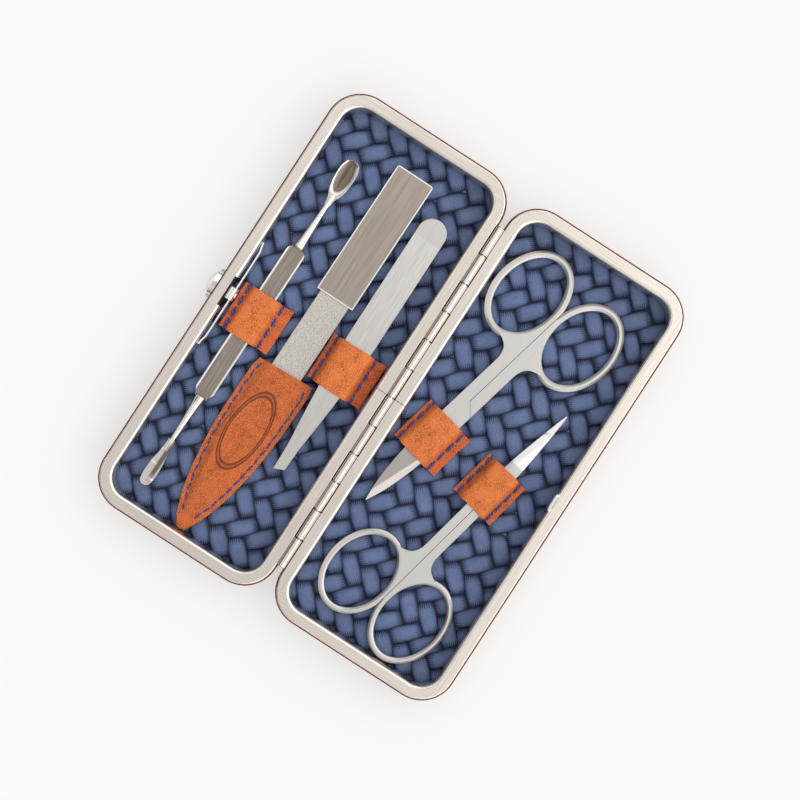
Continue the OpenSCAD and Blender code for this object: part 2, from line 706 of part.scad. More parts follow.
// Solid whose plan and side view are given, by crossing two extrusions
module plan_and_side(w, h) intersection() {
    translate([0, 0, -h]) linear_extrude(2 * h) children(0);
    translate([-w / 2, 0, 0]) rotate([90, 0, 90]) linear_extrude(w) children(1);
}

// Half widths of a pusher end along its length
function end_half(reach, w, shape, root) = smooth(concat([[root, 0], [neck_d / 2, reach * 0.45]],
    [for (s = shape) [s[0] * w, s[1] * reach]]), 4);

// One polished end of the pusher: a turned neck that flattens into a bent blade
module pusher_end(reach, w, shape, bend) {
    half_plan = end_half(reach, w, shape, neck_root_d / 2);
    neck = smooth([[neck_root_d / 2, 0], [neck_root_d * 0.36, reach * 0.14], [neck_d / 2, reach * 0.42],
        [neck_d * 0.45, reach * 0.62]], 4);
    rotate([-90, 0, 0]) rotate_extrude() polygon(concat([[0, 0]], neck, [[0, reach * 0.66]]));
    lift = function(y) bend * pow(max(y / reach - 0.45, 0) / 0.55, 2);
    ys = [for (i = [0 : 10]) reach * (0.5 + 0.05 * i)];
    plan_and_side(2 * w, rim_z) {
        polygon(outline(half_plan));
        polygon(concat([for (y = ys) [y, lift(y) - tip_t / 2]],
            [for (i = [len(ys) - 1 : -1 : 0]) [ys[i], lift(ys[i]) + tip_t / 2]]));
    }
}

// Double-ended cuticle pusher: flat brushed grip, spoon at one end and paddle at the other
module cuticle_pusher() color("silver") placed() translate([-pusher_x, grip_y, 0]) rotate(-pusher_lean) {
    r = 2.4;
    g = grip_l / 2;
    translate([0, 0, tool_z]) linear_extrude(grip_t) union() {
        polygon([[-grip_w / 2, -g + r], [-neck_root_d / 2, -g], [neck_root_d / 2, -g], [grip_w / 2, -g + r],
            [grip_w / 2, g - r], [-grip_w / 2, g - r]]);
        translate([r - grip_w / 2, 0]) square([grip_w - 2 * r, g]);
        for (x = [-1, 1])
            translate([x * (grip_w / 2 - r), g - r]) circle(r);
    }
    translate([0, 0, neck_z]) {
        translate([0, g - 0.4, 0]) pusher_end(spoon_reach, spoon_w, spoon_half, 1.2);
        translate([0, 0.4 - g, 0]) rotate([0, 0, 180]) pusher_end(paddle_reach, paddle_w, paddle_half, 0.8);
    }
}

// Gap between the tweezers' inner faces, at a distance from the end of the joint
arm_run = tweezers_l - joint_l;
function arm_gap(d) = d <= 0 ? 0 : tip_gap * d / arm_run + arm_bow * sin(180 * min(d / arm_run, 1));

// Plan of a tweezers arm: round at the joint, tapered to a slanted tip
module arm_plan() {
    half_plan = [[0.5, 0.486], [0.46, 0.588], [0.385, 0.7], [0.3, 0.802], [0.2, 0.904]];
    taper = smooth([for (p = half_plan) [p[0] * arm_w, -p[1] * tweezers_l]], 4);
    tip = half_plan[len(half_plan) - 1];
    translate([0, -arm_w / 2]) circle(d = arm_w);
    polygon(outline(concat([[arm_w / 2, -arm_w / 2]], taper)));
    polygon([[-slant_w / 2, -tweezers_l], [slant_w / 2, -tweezers_l + slant_w * 0.42],
        [tip[0] * arm_w, -tip[1] * tweezers_l], [-tip[0] * arm_w, -tip[1] * tweezers_l]]);
}

// One arm, bowed away from the other; side = -1 for the lower and 1 for the upper arm
module tweezers_arm(side) placed() translate([-tweezers_x, tweezers_top, arm_mid_z]) {
    ys = [for (i = [0 : 24]) -joint_l - arm_run * i / 24];
    inner = concat([[1, 0]], [for (y = ys) [y, side * arm_gap(-y - joint_l) / 2]]);
    outer = [for (i = [len(ys) - 1 : -1 : 0]) [ys[i], side * (arm_gap(-ys[i] - joint_l) / 2 + arm_t)]];
    plan_and_side(2 * arm_w, rim_z) {
        arm_plan();
        polygon(concat(inner, outer, [[1, side * arm_t]]));
    }
}

module tweezers_lower_arm() color("#c9c6c0") tweezers_arm(-1);

module tweezers_upper_arm() color("#d2cfc9") tweezers_arm(1);

// Points round an oval, given its half length along Y and its half width
function oval(a, b, n) = [for (i = [0 : n - 1]) [b * cos(1 + i * 360 / n), a * sin(1 + i * 360 / n)]];

// Tube of round section bent along that oval
module oval_ring(a, b, t) {
    n = 56;
    sides = 10;
    points = [
        for (i = [0 : n - 1])
            let (c = cos(i * 360 / n), s = sin(i * 360 / n), out = [a * c, b * s] / norm([a * c, b * s]))
                for (k = [0 : sides - 1])
                    let (r = t / 2 * cos(k * 360 / sides), z = t / 2 * sin(k * 360 / sides))
                        [b * c + r * out[0], a * s + r * out[1], z]
    ];
    polyhedron(points, [
        for (i = [0 : n - 1])
            for (k = [0 : sides - 1])
                let (j = (i + 1) % n, m = (k + 1) % sides)
                    [i * sides + k, i * sides + m, j * sides + m, j * sides + k]
    ], 4);
}

// Plan of the region where both halves cross, with the blade, grown all round. It ends in a right angle
module lap_plan(w, lap, blade, blade_l, grow = 0) {
    side = smooth([for (p = blade) [p[1], -p[0] * blade_l]], 4);
    if (grow == 0)
        polygon(outline(concat([[w, 0.5]], side)));
    apex = lap + grow * sqrt(2);
    polygon([[-w - grow, -0.01], [w + grow, -0.01], [w + grow, apex - w - grow], [0, apex],
        [-w - grow, apex - w - grow]]);
}

// Plan of the shank at +X, from the crossing to the middle of its ring
module shank_plan(w, ring, ring_y) {
    ring_x = ring[1] - ring_flat;
    bottom = ring_y - ring[0];
    edge = smooth([[w, 2], [w, bottom - 12], [w, bottom - 6], [w + 0.2, bottom - 3], [w + 1.5, bottom - 0.5],
        [w + 4.3, bottom + 0.9], [ring_x, bottom + ring[2] / 2]], 4);
    difference() {
        polygon(concat([[lap_gap, 2]], edge, [[ring_x, ring_y + 1], [lap_gap, ring_y + 1]]));
        translate([ring_x, ring_y]) polygon(oval(ring[0] - ring[2] / 2, ring[1] - ring[2] / 2, 44));
    }
}

// One half of a pair of scissors, lying on its back with the screw at the origin and the rings towards +Y
// upper half: shank at -X and crossing in the upper layer; lower half: shank at +X, crossing below
module scissors_half(upper, w, lap, blade, blade_l, ring, ring_y) {
    side = upper ? 1 : 0;
    low = tool_z;
    high = tool_z + shank_t;
    layer = upper ? [lap_z + lap_gap, high] : [low, lap_z];
    rest = upper ? [low, lap_z + lap_gap] : [lap_z, high];
    difference() {
        union() {
            translate([0, 0, layer[0]]) linear_extrude(layer[1] - layer[0]) {
                lap_plan(w, lap, blade, blade_l);
                mirror([side, 0]) shank_plan(w, ring, ring_y);
            }
            translate([0, 0, rest[0]]) linear_extrude(rest[1] - rest[0]) difference() {
                mirror([side, 0]) shank_plan(w, ring, ring_y);
                lap_plan(w, lap, blade, blade_l, step_gap);
            }
            mirror([side, 0, 0]) difference() {
                translate([ring[1] - ring_flat, ring_y, low + shank_t / 2])
                    oval_ring(ring[0] - ring[2] / 2, ring[1] - ring[2] / 2, ring[2]);
                translate([ring_gap - 2, ring_y - ring[0], low - 1]) cube([2, 2 * ring[0], shank_t + 2]);
            }
        }
        // the crossing is ground lower than the shanks
        translate([0, 0, lap_top]) linear_extrude(shank_t) lap_plan(w, lap, blade, blade_l);
        // bevel ground along the cutting edge of the upper blade
        if (upper)
            translate([blade[2][1], -blade[2][0] * blade_l, layer[0] + 0.35])
                rotate([0, 0, -atan(blade[2][1] / (blade_l * (1 - blade[2][0])))]) rotate([0, 25, 0])
                    translate([-3, -blade_l, 0]) cube([6, 2 * blade_l - 6, 4]);
        translate([0, 0, low - 1]) cylinder(h = shank_t + 2, r = screw_d / 2 + (upper ? 0.01 : run));
    }
}

// Slotted screw, tight in the upper half and running in the lower
module scissors_screw() difference() {
    union() {
        translate([0, 0, tool_z]) cylinder(h = lap_top - tool_z, d = screw_d);
        translate([0, 0, lap_top]) cylinder(h = head_h, d = head_d);
    }
    translate([-head_d / 2 - 1, -0.3, screw_top - 0.3]) cube([head_d + 2, 0.6, 1]);
}

module nail_placed() placed() translate([nail_x, nail_y, 0]) rotate([0, 0, -nail_tilt]) children();

module cuticle_placed() placed() translate([cuticle_x, cuticle_y, 0]) rotate([0, 0, 180 - cuticle_tilt])
    children();

module nail_half_upper() color("#d0ccc6") nail_placed()
    scissors_half(true, nail_shank, nail_lap, nail_blade, nail_blade_l, nail_ring, nail_ring_y);

module nail_half_lower() color("#c6c2bc") nail_placed()
    scissors_half(false, nail_shank, nail_lap, nail_blade, nail_blade_l, nail_ring, nail_ring_y);

module nail_screw() color("silver") nail_placed() scissors_screw();

module cuticle_half_upper() color("#d0ccc6") cuticle_placed()
    scissors_half(true, cuticle_shank, cuticle_lap, cuticle_blade, cuticle_blade_l, cuticle_ring,
        cuticle_ring_y);

module cuticle_half_lower() color("#c6c2bc") cuticle_placed()
    scissors_half(false, cuticle_shank, cuticle_lap, cuticle_blade, cuticle_blade_l, cuticle_ring,
        cuticle_ring_y);

module cuticle_screw() color("silver") cuticle_placed() scissors_screw();

base_frame();
base_cover();
base_board();
base_padding();
base_lining();
catch_tongue();
hinge_pin();
lid_frame();
lid_cover();
lid_board();
lid_padding();
lid_lining();
button_bezel();
button_cap();
button_stem();
latch_spring();
latch_plate();
pusher_strap_loop();
tweezers_strap_loop();
nail_strap_loop();
cuticle_strap_loop();
sheath_back();
sheath_front();
cuticle_pusher();
file_handle();
file_blade();
tweezers_lower_arm();
tweezers_upper_arm();
nail_half_upper();
nail_half_lower();
nail_screw();
cuticle_half_upper();
cuticle_half_lower();
cuticle_screw();
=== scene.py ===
import math

import bpy
from bpy.props import FloatProperty, FloatVectorProperty, PointerProperty
from mathutils import Matrix, Vector


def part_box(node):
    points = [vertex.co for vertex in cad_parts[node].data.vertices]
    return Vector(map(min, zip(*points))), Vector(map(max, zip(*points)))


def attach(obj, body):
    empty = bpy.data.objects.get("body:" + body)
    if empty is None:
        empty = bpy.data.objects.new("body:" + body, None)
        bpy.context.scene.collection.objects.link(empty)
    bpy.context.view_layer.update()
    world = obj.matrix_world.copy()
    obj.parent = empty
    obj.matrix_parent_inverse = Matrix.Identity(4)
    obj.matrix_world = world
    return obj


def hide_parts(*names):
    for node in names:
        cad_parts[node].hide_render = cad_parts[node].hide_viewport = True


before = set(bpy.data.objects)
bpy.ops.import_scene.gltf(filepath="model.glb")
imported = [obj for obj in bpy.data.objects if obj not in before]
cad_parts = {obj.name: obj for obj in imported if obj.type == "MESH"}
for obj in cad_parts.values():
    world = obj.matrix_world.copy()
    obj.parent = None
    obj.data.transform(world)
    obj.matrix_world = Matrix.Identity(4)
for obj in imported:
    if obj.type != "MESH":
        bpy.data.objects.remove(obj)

bl_info = {
    "name": "Manicure set case",
    "version": (1, 0, 0),
    "blender": (4, 5, 0),
    "location": "View3D > Sidebar > Manicure Case",
    "description": "Leather, metal and stitching of a framed manicure case and its tools",
    "category": "Object",
}

MM = 0.001


def linear(code):
    """Turns an sRGB hex colour into linear red, green, blue and a full alpha."""
    parts = [int(code[i:i + 2], 16) / 255 for i in (1, 3, 5)]
    return tuple(c / 12.92 if c <= 0.04045 else ((c + 0.055) / 1.055) ** 2.4 for c in parts) + (1.0,)


def colour(name, description, code):
    return FloatVectorProperty(name=name, description=description, subtype="COLOR", size=4, min=0, max=1,
                               default=linear(code))


def length(name, description, mm):
    return FloatProperty(name=name, description=description, unit="LENGTH", subtype="DISTANCE", min=0,
                         default=mm * MM, precision=5)


class CaseSizes(bpy.types.PropertyGroup):
    """Sizes that a user of the case may want to change."""

    camera_height: length("Camera height", "Height of the camera over the table", 460)
    plait_step: length("Plait step", "Distance between plaits side by side in a row", 6.9)
    plait_row: length("Plait row", "Distance between one row of plaits and the next", 7.29)
    plait_relief: length("Plait relief", "Depth of the pressed creases between plaits", 0.85)
    strap_thickness: length("Strap thickness", "Thickness of the strap leather", 1.1)
    thread_width: length("Thread width", "Width of a sewn stitch", 0.95)
    stitch_step: length("Stitch step", "Distance from one stitch to the next", 3.9)
    sheath_stitch_step: length("Sheath stitch step", "Distance between stitches on the sheath", 3.0)


class CaseColours(bpy.types.PropertyGroup):
    """Colours of the leathers, the thread, the metals and the floor."""

    nickel: colour("Nickel", "Satin nickel plate of the two rims", "#F1E8DE")
    steel: colour("Steel", "Satin stainless steel of the tools", "#D7D3CF")
    lining: colour("Lining", "Crests of the plaited lining", "#65769C")
    # painted shade: the creases between the plaits are painted near black
    crease: colour("Crease", "Creases between the plaits", "#0B142E")
    # painted light: strap is the lit copy of the tan leather, flap the shaded copy
    strap: colour("Strap", "Tan leather where it is drawn over a tool", "#E88243")
    flap: colour("Flap", "Tan leather where it lies flat", "#D86C38")
    cover: colour("Cover", "Red brown leather of the outside", "#7E3426")
    thread: colour("Thread", "Waxed sewing thread", "#4A4FA0")
    floor: colour("Floor", "White table that the case lies on", "#F4F2F0")


def sizes():
    return bpy.context.scene.manicure_sizes


def colours():
    return bpy.context.scene.manicure_colours


# ---------------------------------------------------------------- modelling helpers

def mode(name):
    bpy.ops.object.mode_set(mode=name)


def nothing_selected():
    if bpy.context.mode != "OBJECT":
        mode("OBJECT")
    bpy.ops.object.select_all(action="DESELECT")


def named(name):
    """Names the piece that was just added and gives it back."""
    piece = bpy.context.object
    piece.name = piece.data.name = name
    return piece


def only(piece):
    nothing_selected()
    piece.select_set(True)
    bpy.context.view_layer.objects.active = piece


def pick(piece, test):
    """In edit mode, selects the points whose place passes the test."""
    mode("OBJECT")
    for part in (piece.data.polygons, piece.data.edges):
        part.foreach_set("select", [False] * len(part))
    piece.data.vertices.foreach_set("select", [test(v.co) for v in piece.data.vertices])
    mode("EDIT")
    bpy.ops.mesh.select_mode(type="VERT")


def apply_modifiers(piece):
    only(piece)
    for m in list(piece.modifiers):
        bpy.ops.object.modifier_apply(modifier=m.name)


def modifier(piece, kind, **settings):
    m = piece.modifiers.new(kind.title(), kind)
    for key, value in settings.items():
        setattr(m, key, value)


def uneven(piece, name, width, depth):
    """Adds the small wanderings of handwork, of this width and depth in millimetres."""
    drift = bpy.data.textures.new(name, "CLOUDS")
    drift.noise_scale = width * MM
    drift.cloud_type = "COLOR"
    modifier(piece, "DISPLACE", texture=drift, texture_coords="GLOBAL", direction="RGB_TO_XYZ",
             strength=depth * MM, mid_level=0.5)


def settle(piece, place=Matrix.Identity(4)):
    """Puts the piece in its place through its mesh, with its object at the origin."""
    piece.data.transform(place @ piece.matrix_world)
    piece.matrix_world = Matrix.Identity(4)
    piece.data.update()


def joined(pieces, name):
    nothing_selected()
    for p in pieces:
        p.select_set(True)
    bpy.context.view_layer.objects.active = pieces[0]
    bpy.ops.object.join()
    return named(name)


def copy_of(piece, place):
    """A copy with its own mesh, moved by a matrix."""
    twin = piece.copy()
    twin.data = piece.data.copy()
    bpy.context.collection.objects.link(twin)
    twin.data.transform(place)
    return twin


def smooth(piece, angle):
    only(piece)
    bpy.ops.object.shade_smooth_by_angle(angle=math.radians(angle))


def dress(piece, *materials):
    piece.data.materials.clear()
    for m in materials:
        piece.data.materials.append(m)


def dress_nodes(finish, *names):
    for name in names:
        dress(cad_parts[name], finish)


def ease(share):
    """Smooth way from 0 to 1, level at both ends."""
    return share * share * (3 - 2 * share)


# ---------------------------------------------------------------- materials

def connect(node, inputs):
    """Sets a node's inputs: a number or colour on the socket itself, a link for a socket or a node.

    A node stands for its first output in use.
    """
    for key, value in inputs.items():
        if isinstance(value, bpy.types.Node):
            value = next(output for output in value.outputs if output.enabled)
        if isinstance(value, bpy.types.NodeSocket):
            node.id_data.links.new(value, node.inputs[key])
        else:
            node.inputs[key].default_value = value
    return node


def add(tree, kind, inputs=(), stops=(), **settings):
    """Adds a node with its settings, the stops of its colour ramp, its fixed inputs and its links."""
    node = tree.nodes.new("ShaderNode" + kind)
    for key, value in settings.items():
        setattr(node, key, value)
    for number, (place, tone) in enumerate(stops):
        bar = node.color_ramp.elements
        element = bar[number] if number < len(bar) else bar.new(place)
        element.position = place
        element.color = tone
    return connect(node, dict(inputs))


def material(name, inputs):
    """A new material whose Principled shader has these inputs on its own sockets."""
    made = bpy.data.materials.new(name)
    made.use_nodes = True
    return made, made.node_tree, connect(made.node_tree.nodes["Principled BSDF"], inputs)


def scaled(tree, *mm):
    """Object coordinates in which one unit of a texture is this many millimetres, all round or by axis."""
    return add(tree, "Mapping", {"Vector": add(tree, "TexCoord").outputs["Object"],
                                 "Scale": [1000 / s for s in (mm if len(mm) == 3 else mm * 3)]})


def framed(tree, frame_of, size=(1, 1, 1)):
    """Place in a piece's own frame, in metres or in parts of the given size."""
    return add(tree, "Mapping", {"Vector": add(tree, "TexCoord").outputs["Object"],
                                 "Location": frame_of.to_translation(), "Rotation": frame_of.to_euler(),
                                 "Scale": size}, vector_type="TEXTURE")


def from_middle(tree, frame_of, half):
    """Distance from the middle of an oval, 1 at its edge, whose half lengths are in millimetres."""
    own = framed(tree, frame_of, (half[0] * MM, half[1] * MM, 1))
    flat = add(tree, "VectorMath", {0: own, 1: (1, 1, 0)}, operation="MULTIPLY")
    return add(tree, "VectorMath", {0: flat}, operation="LENGTH")


def within(tree, value, centre, half, soft=0.1):
    """1 where the value, in metres, lies within half millimetres of the centre, 0 beyond, with a soft edge."""
    off = add(tree, "Math", {0: value, 1: centre * MM}, operation="SUBTRACT")
    far = add(tree, "Math", {0: off}, operation="ABSOLUTE")
    return add(tree, "MapRange", {"Value": far, "From Min": (half + soft) * MM, "From Max": (half - soft) * MM})


def product(tree, *values):
    made = values[0]
    for value in values[1:]:
        made = add(tree, "Math", {0: made, 1: value}, operation="MULTIPLY")
    return made


def brushed(name, light, dark, rough, line=(0.25, 9, 0.25), edges=None):
    """Metal brushed in lines a quarter of a millimetre wide, coarser than the real ones so that they show.

    edges is the frame of a bar and its half width and half length in millimetres, whose edges get a painted
    highlight.
    """
    made, tree, shader = material(name, {"Metallic": 1.0, "Roughness": rough})
    streaks = add(tree, "TexNoise", {"Vector": scaled(tree, *line), "Scale": 1.0, "Detail": 2.0})
    tone = add(tree, "ValToRGB", {"Fac": streaks}, ((0.36, linear(dark)), (0.64, linear(light))))
    if edges:
        # painted highlight: near white along the bar's edges, outside its flat middle
        own = add(tree, "SeparateXYZ", {"Vector": framed(tree, edges[0])})
        flat = product(tree, *(within(tree, own.outputs[axis], 0, half - EDGE_HIGHLIGHT_WIDTH)
                               for axis, half in zip("XY", edges[1:])))
        tone = add(tree, "Mix", {0: flat, 6: linear("#FFFCF8"), 7: tone}, data_type="RGBA")
    bump = add(tree, "Bump", {"Height": streaks, "Distance": 0.01 * MM, "Strength": 0.4})
    connect(shader, {"Base Color": tone, "Normal": bump})
    return made


def satin_nickel():
    """Nickel plated steel strip, brushed along each side of the rim: warm, soft and nearly white."""
    made, tree, shader = material("Satin nickel plate", {"Metallic": 1.0, "Roughness": 0.25})
    axes = add(tree, "SeparateXYZ", {"Vector": add(tree, "TexCoord").outputs["Object"]})
    x, y = axes.outputs["X"], axes.outputs["Y"]
    far = add(tree, "Math", {0: y}, operation="ABSOLUTE")
    ends = add(tree, "Math", {0: far, 1: RIM_END * MM}, operation="GREATER_THAN")
    along, across = (add(tree, "TexNoise", {"Vector": scaled(tree, *line), "Scale": 1.0, "Detail": 3.0})
                     for line in ((0.2, 14, 0.2), (14, 0.2, 0.2)))
    lines = add(tree, "Mix", {0: ends, 2: along, 3: across})
    tone = add(tree, "ValToRGB", {"Fac": lines}, ((0.3, linear("#DFD5CA")), (0.62, colours().nickel)))
    # painted shade: dark lines in the gaps between neighbouring knuckles, and beside the barrel where it meets
    # the other rim
    off_joint = add(tree, "Math", {0: y, 1: KNUCKLE_PITCH * MM / 2}, operation="PINGPONG")
    run = within(tree, y, 0, HINGE_HALF, 0.05)
    knuckle_gap_shade = product(tree, within(tree, off_joint, 0, 0.24, 0.06), within(tree, x, HINGE_X, 1.35, 0.05), run)
    barrel_gap_shade = add(tree, "Math", {0: within(tree, x, HINGE_X, 1.5, 0.06),
                                1: within(tree, x, HINGE_X, 1.18, 0.08)}, operation="SUBTRACT")
    line = add(tree, "Math", {0: knuckle_gap_shade, 1: product(tree, barrel_gap_shade, run, 0.7)}, operation="MAXIMUM")
    # the hairline where the ends of the strip meet, half way along the hinge
    hairline = product(tree, within(tree, y, SEAM_Y, 0.14, 0.05), within(tree, x, HINGE_X, 6.6), 0.6)
    # the dark brown takes the painted shade of the gaps and the hairline of the seam
    dark = add(tree, "Math", {0: line, 1: hairline}, operation="MAXIMUM")
    tone = add(tree, "Mix", {0: dark, 6: tone, 7: linear("#2A241F")}, data_type="RGBA")
    bump = add(tree, "Bump", {"Height": lines, "Distance": 0.008 * MM, "Strength": 0.3})
    connect(shader, {"Base Color": tone, "Normal": bump})
    return made


def bright_steel():
    """Polished spring steel and plated pressings: near mirror with faint rub marks."""
    made, tree, shader = material("Polished steel", {"Metallic": 1.0, "Base Color": linear("#EFEBE7")})
    marks = add(tree, "TexNoise", {"Vector": scaled(tree, 0.8), "Scale": 1.0, "Detail": 4.0})
    connect(shader, {"Roughness": add(tree, "MapRange", {"Value": marks, "To Min": 0.03, "To Max": 0.12})})
    return made


def satin_steel(name, blade, tip, ground):
    """Stainless steel blasted to an even satin: light grey with hardly a mark.

    blade is the frame of the screw, and the piece takes the ground colour from tip millimetres on past it.
    """
    made, tree, shader = material(name, {"Metallic": 1.0, "Roughness": 0.3})
    cloud = add(tree, "TexNoise", {"Vector": scaled(tree, 0.5, 5, 0.5), "Scale": 1.0, "Detail": 3.0,
                                   "Roughness": 0.6})
    tone = add(tree, "ValToRGB", {"Fac": cloud}, ((0.3, linear("#D3CFCB")), (0.6, colours().steel)))
    own = add(tree, "SeparateXYZ", {"Vector": framed(tree, blade)})
    past = add(tree, "MapRange", {"Value": own.outputs["Y"], "From Min": (tip + 0.5) * MM,
                                  "From Max": (tip - 0.5) * MM})
    tone = add(tree, "Mix", {0: past, 6: tone, 7: linear(ground)}, data_type="RGBA")
    grain = add(tree, "TexNoise", {"Vector": scaled(tree, 0.35), "Scale": 1.0})
    bump = add(tree, "Bump", {"Height": grain, "Distance": 0.008 * MM, "Strength": 0.4})
    connect(shader, {"Base Color": tone, "Normal": bump})
    return made


def pusher_steel(low, high, paddle):
    """Stainless bar: a flat grip brushed along its length, and polished turned ends with spoon and paddle.

    low and high are the grip's ends in metres, and paddle is the middle of the paddle.
    """
    made, tree, shader = material("Brushed and polished stainless", {"Metallic": 1.0})
    y = add(tree, "SeparateXYZ", {"Vector": add(tree, "TexCoord").outputs["Object"]}).outputs["Y"]
    grip = product(tree, add(tree, "Math", {0: y, 1: low}, operation="GREATER_THAN"),
                   add(tree, "Math", {0: y, 1: high}, operation="LESS_THAN"))
    lines = add(tree, "TexNoise", {"Vector": scaled(tree, 0.28, 14, 0.28), "Scale": 1.0, "Detail": 2.0})
    satin = add(tree, "ValToRGB", {"Fac": lines}, ((0.36, linear("#8A8076")), (0.64, linear("#A89E93"))))
    # painted highlight: the grip is painted near white more than 2.5 mm off its axis, on its chamfered edges
    own = add(tree, "SeparateXYZ", {"Vector": framed(tree, turned((PUSHER_X * MM, 0, 0), PUSHER_TURN))})
    satin = add(tree, "Mix", {0: within(tree, own.outputs["X"], 0, 2.5), 6: linear("#FFFBF6"), 7: satin},
                data_type="RGBA")
    # the spoon's hollow, 0.7 mm deep: its ground surface slopes in from all round
    out = from_middle(tree, SPOON, SPOON_HALF)
    rim = add(tree, "MapRange", {"Value": out})
    hollow = add(tree, "Math", {0: rim, 1: 2.2}, operation="POWER")
    # painted reflection: inside its rim the spoon's hollow is painted dark grey brown
    inside = add(tree, "MapRange", {"Value": out, "From Min": 0.95, "From Max": 0.8})
    ends = add(tree, "Mix", {0: inside, 6: linear("#F2EDE8"), 7: linear("#7D7165")}, data_type="RGBA")
    # the paddle is ground in two flats that meet in a ridge: the right one mirrors something darker
    ridge = add(tree, "SeparateXYZ", {"Vector": framed(tree, turned(paddle, PUSHER_TURN))})
    flat = product(tree, within(tree, ridge.outputs["X"], 0.75, 0.7, 0.25),
                   within(tree, ridge.outputs["Y"], 0, 6.5, 2.0))
    ends = add(tree, "Mix", {0: flat, 6: ends, 7: linear("#8A7E72")}, data_type="RGBA")
    deep = add(tree, "Bump", {"Height": hollow, "Distance": 0.7 * MM, "Strength": 1.0})
    bump = add(tree, "Bump", {"Height": product(tree, lines, grip), "Distance": 0.015 * MM, "Strength": 0.5,
                              "Normal": deep})
    connect(shader, {"Roughness": add(tree, "MapRange", {"Value": grip, "To Min": 0.08, "To Max": 0.3}),
                     "Base Color": add(tree, "Mix", {0: grip, 6: ends, 7: satin}, data_type="RGBA"),
                     "Normal": bump})
    return made


def file_grit():
    """Steel coated with fine grit, about 0.1 mm a grain, drawn at 0.35 mm so that it shows."""
    made, tree, shader = material("Grit coated steel", {"Metallic": 0.5, "Roughness": 0.6})
    grains = add(tree, "TexNoise", {"Vector": scaled(tree, 0.35), "Scale": 1.0, "Detail": 3.0,
                                    "Roughness": 0.7})
    tone = add(tree, "ValToRGB", {"Fac": grains}, ((0.3, linear("#9A948C")), (0.65, linear("#DAD5CE"))))
    bump = add(tree, "Bump", {"Height": grains, "Distance": 0.08 * MM, "Strength": 0.8})
    connect(shader, {"Base Color": tone, "Normal": bump})
    return made


def leather(name, light, dark, grain, rough=0.6, full=1.0, raised=None, cut=None, oval=None):
    """Grained calf leather: pebbles of the given width in millimetres, dark in the pores between them.

    full is the height of the grain at which it is as light as it gets, raised a lighter copy of the light and
    dark, painted as light on leather that is drawn up over a tool, cut the colour of its cut edge, and oval the
    frame and the half lengths of a plain pressed double ring.
    """
    made, tree, shader = material(name, {"Roughness": rough, "Specular IOR Level": 0.3})
    pebbles = add(tree, "TexVoronoi", {"Vector": scaled(tree, grain), "Scale": 1.0},
                  feature="DISTANCE_TO_EDGE")
    mottle = add(tree, "TexNoise", {"Vector": scaled(tree, 3.5), "Scale": 1.0, "Detail": 5.0,
                                    "Roughness": 0.6})
    height = add(tree, "MapRange", {"Value": pebbles, "From Max": 0.26})
    body = add(tree, "Math", {0: height, 1: 0.55, 2: mottle}, operation="MULTIPLY_ADD")
    tone = add(tree, "ValToRGB", {"Fac": body}, ((0.35, dark), (full, light)))
    # painted light: leather more than 1.3 mm over the lining takes the lighter copy of the colours, as lit
    # where it is drawn up
    if raised:
        drawn = add(tree, "ValToRGB", {"Fac": body}, ((0.35, raised[1]), (full, raised[0])))
        z = add(tree, "SeparateXYZ", {"Vector": add(tree, "TexCoord").outputs["Object"]}).outputs["Z"]
        up = add(tree, "MapRange", {"Value": z, "From Min": LINING_TOP + 1.3 * MM,
                                    "From Max": LINING_TOP + 3.1 * MM})
        tone = add(tree, "Mix", {0: up, 6: tone, 7: drawn}, data_type="RGBA")
    if oval:
        far = from_middle(tree, *oval)
        rings = []
        for radius in (0.97, 0.87):
            gap = add(tree, "Math", {0: far, 1: radius}, operation="SUBTRACT")
            near = add(tree, "Math", {0: gap}, operation="ABSOLUTE")
            rings.append(add(tree, "MapRange", {"Value": near, "From Min": 0.05, "From Max": 0.015}))
        pressed = add(tree, "Math", dict(enumerate(rings)), operation="MAXIMUM")
        tone = add(tree, "Mix", {0: product(tree, pressed, 0.85), 6: tone, 7: linear("#6A2E18")},
                   data_type="RGBA")
        height = add(tree, "Math", {0: pressed, 1: -2.0, 2: height}, operation="MULTIPLY_ADD")
    if cut:
        up = add(tree, "SeparateXYZ", {"Vector": add(tree, "NewGeometry").outputs["Normal"]})
        side = add(tree, "MapRange", {"Value": up.outputs["Z"], "From Min": 0.75, "From Max": 0.35})
        tone = add(tree, "Mix", {0: side, 6: tone, 7: cut}, data_type="RGBA")
    bump = add(tree, "Bump", {"Height": height, "Distance": 0.12 * MM, "Strength": 0.8})
    connect(shader, {"Base Color": tone, "Normal": bump})
    return made


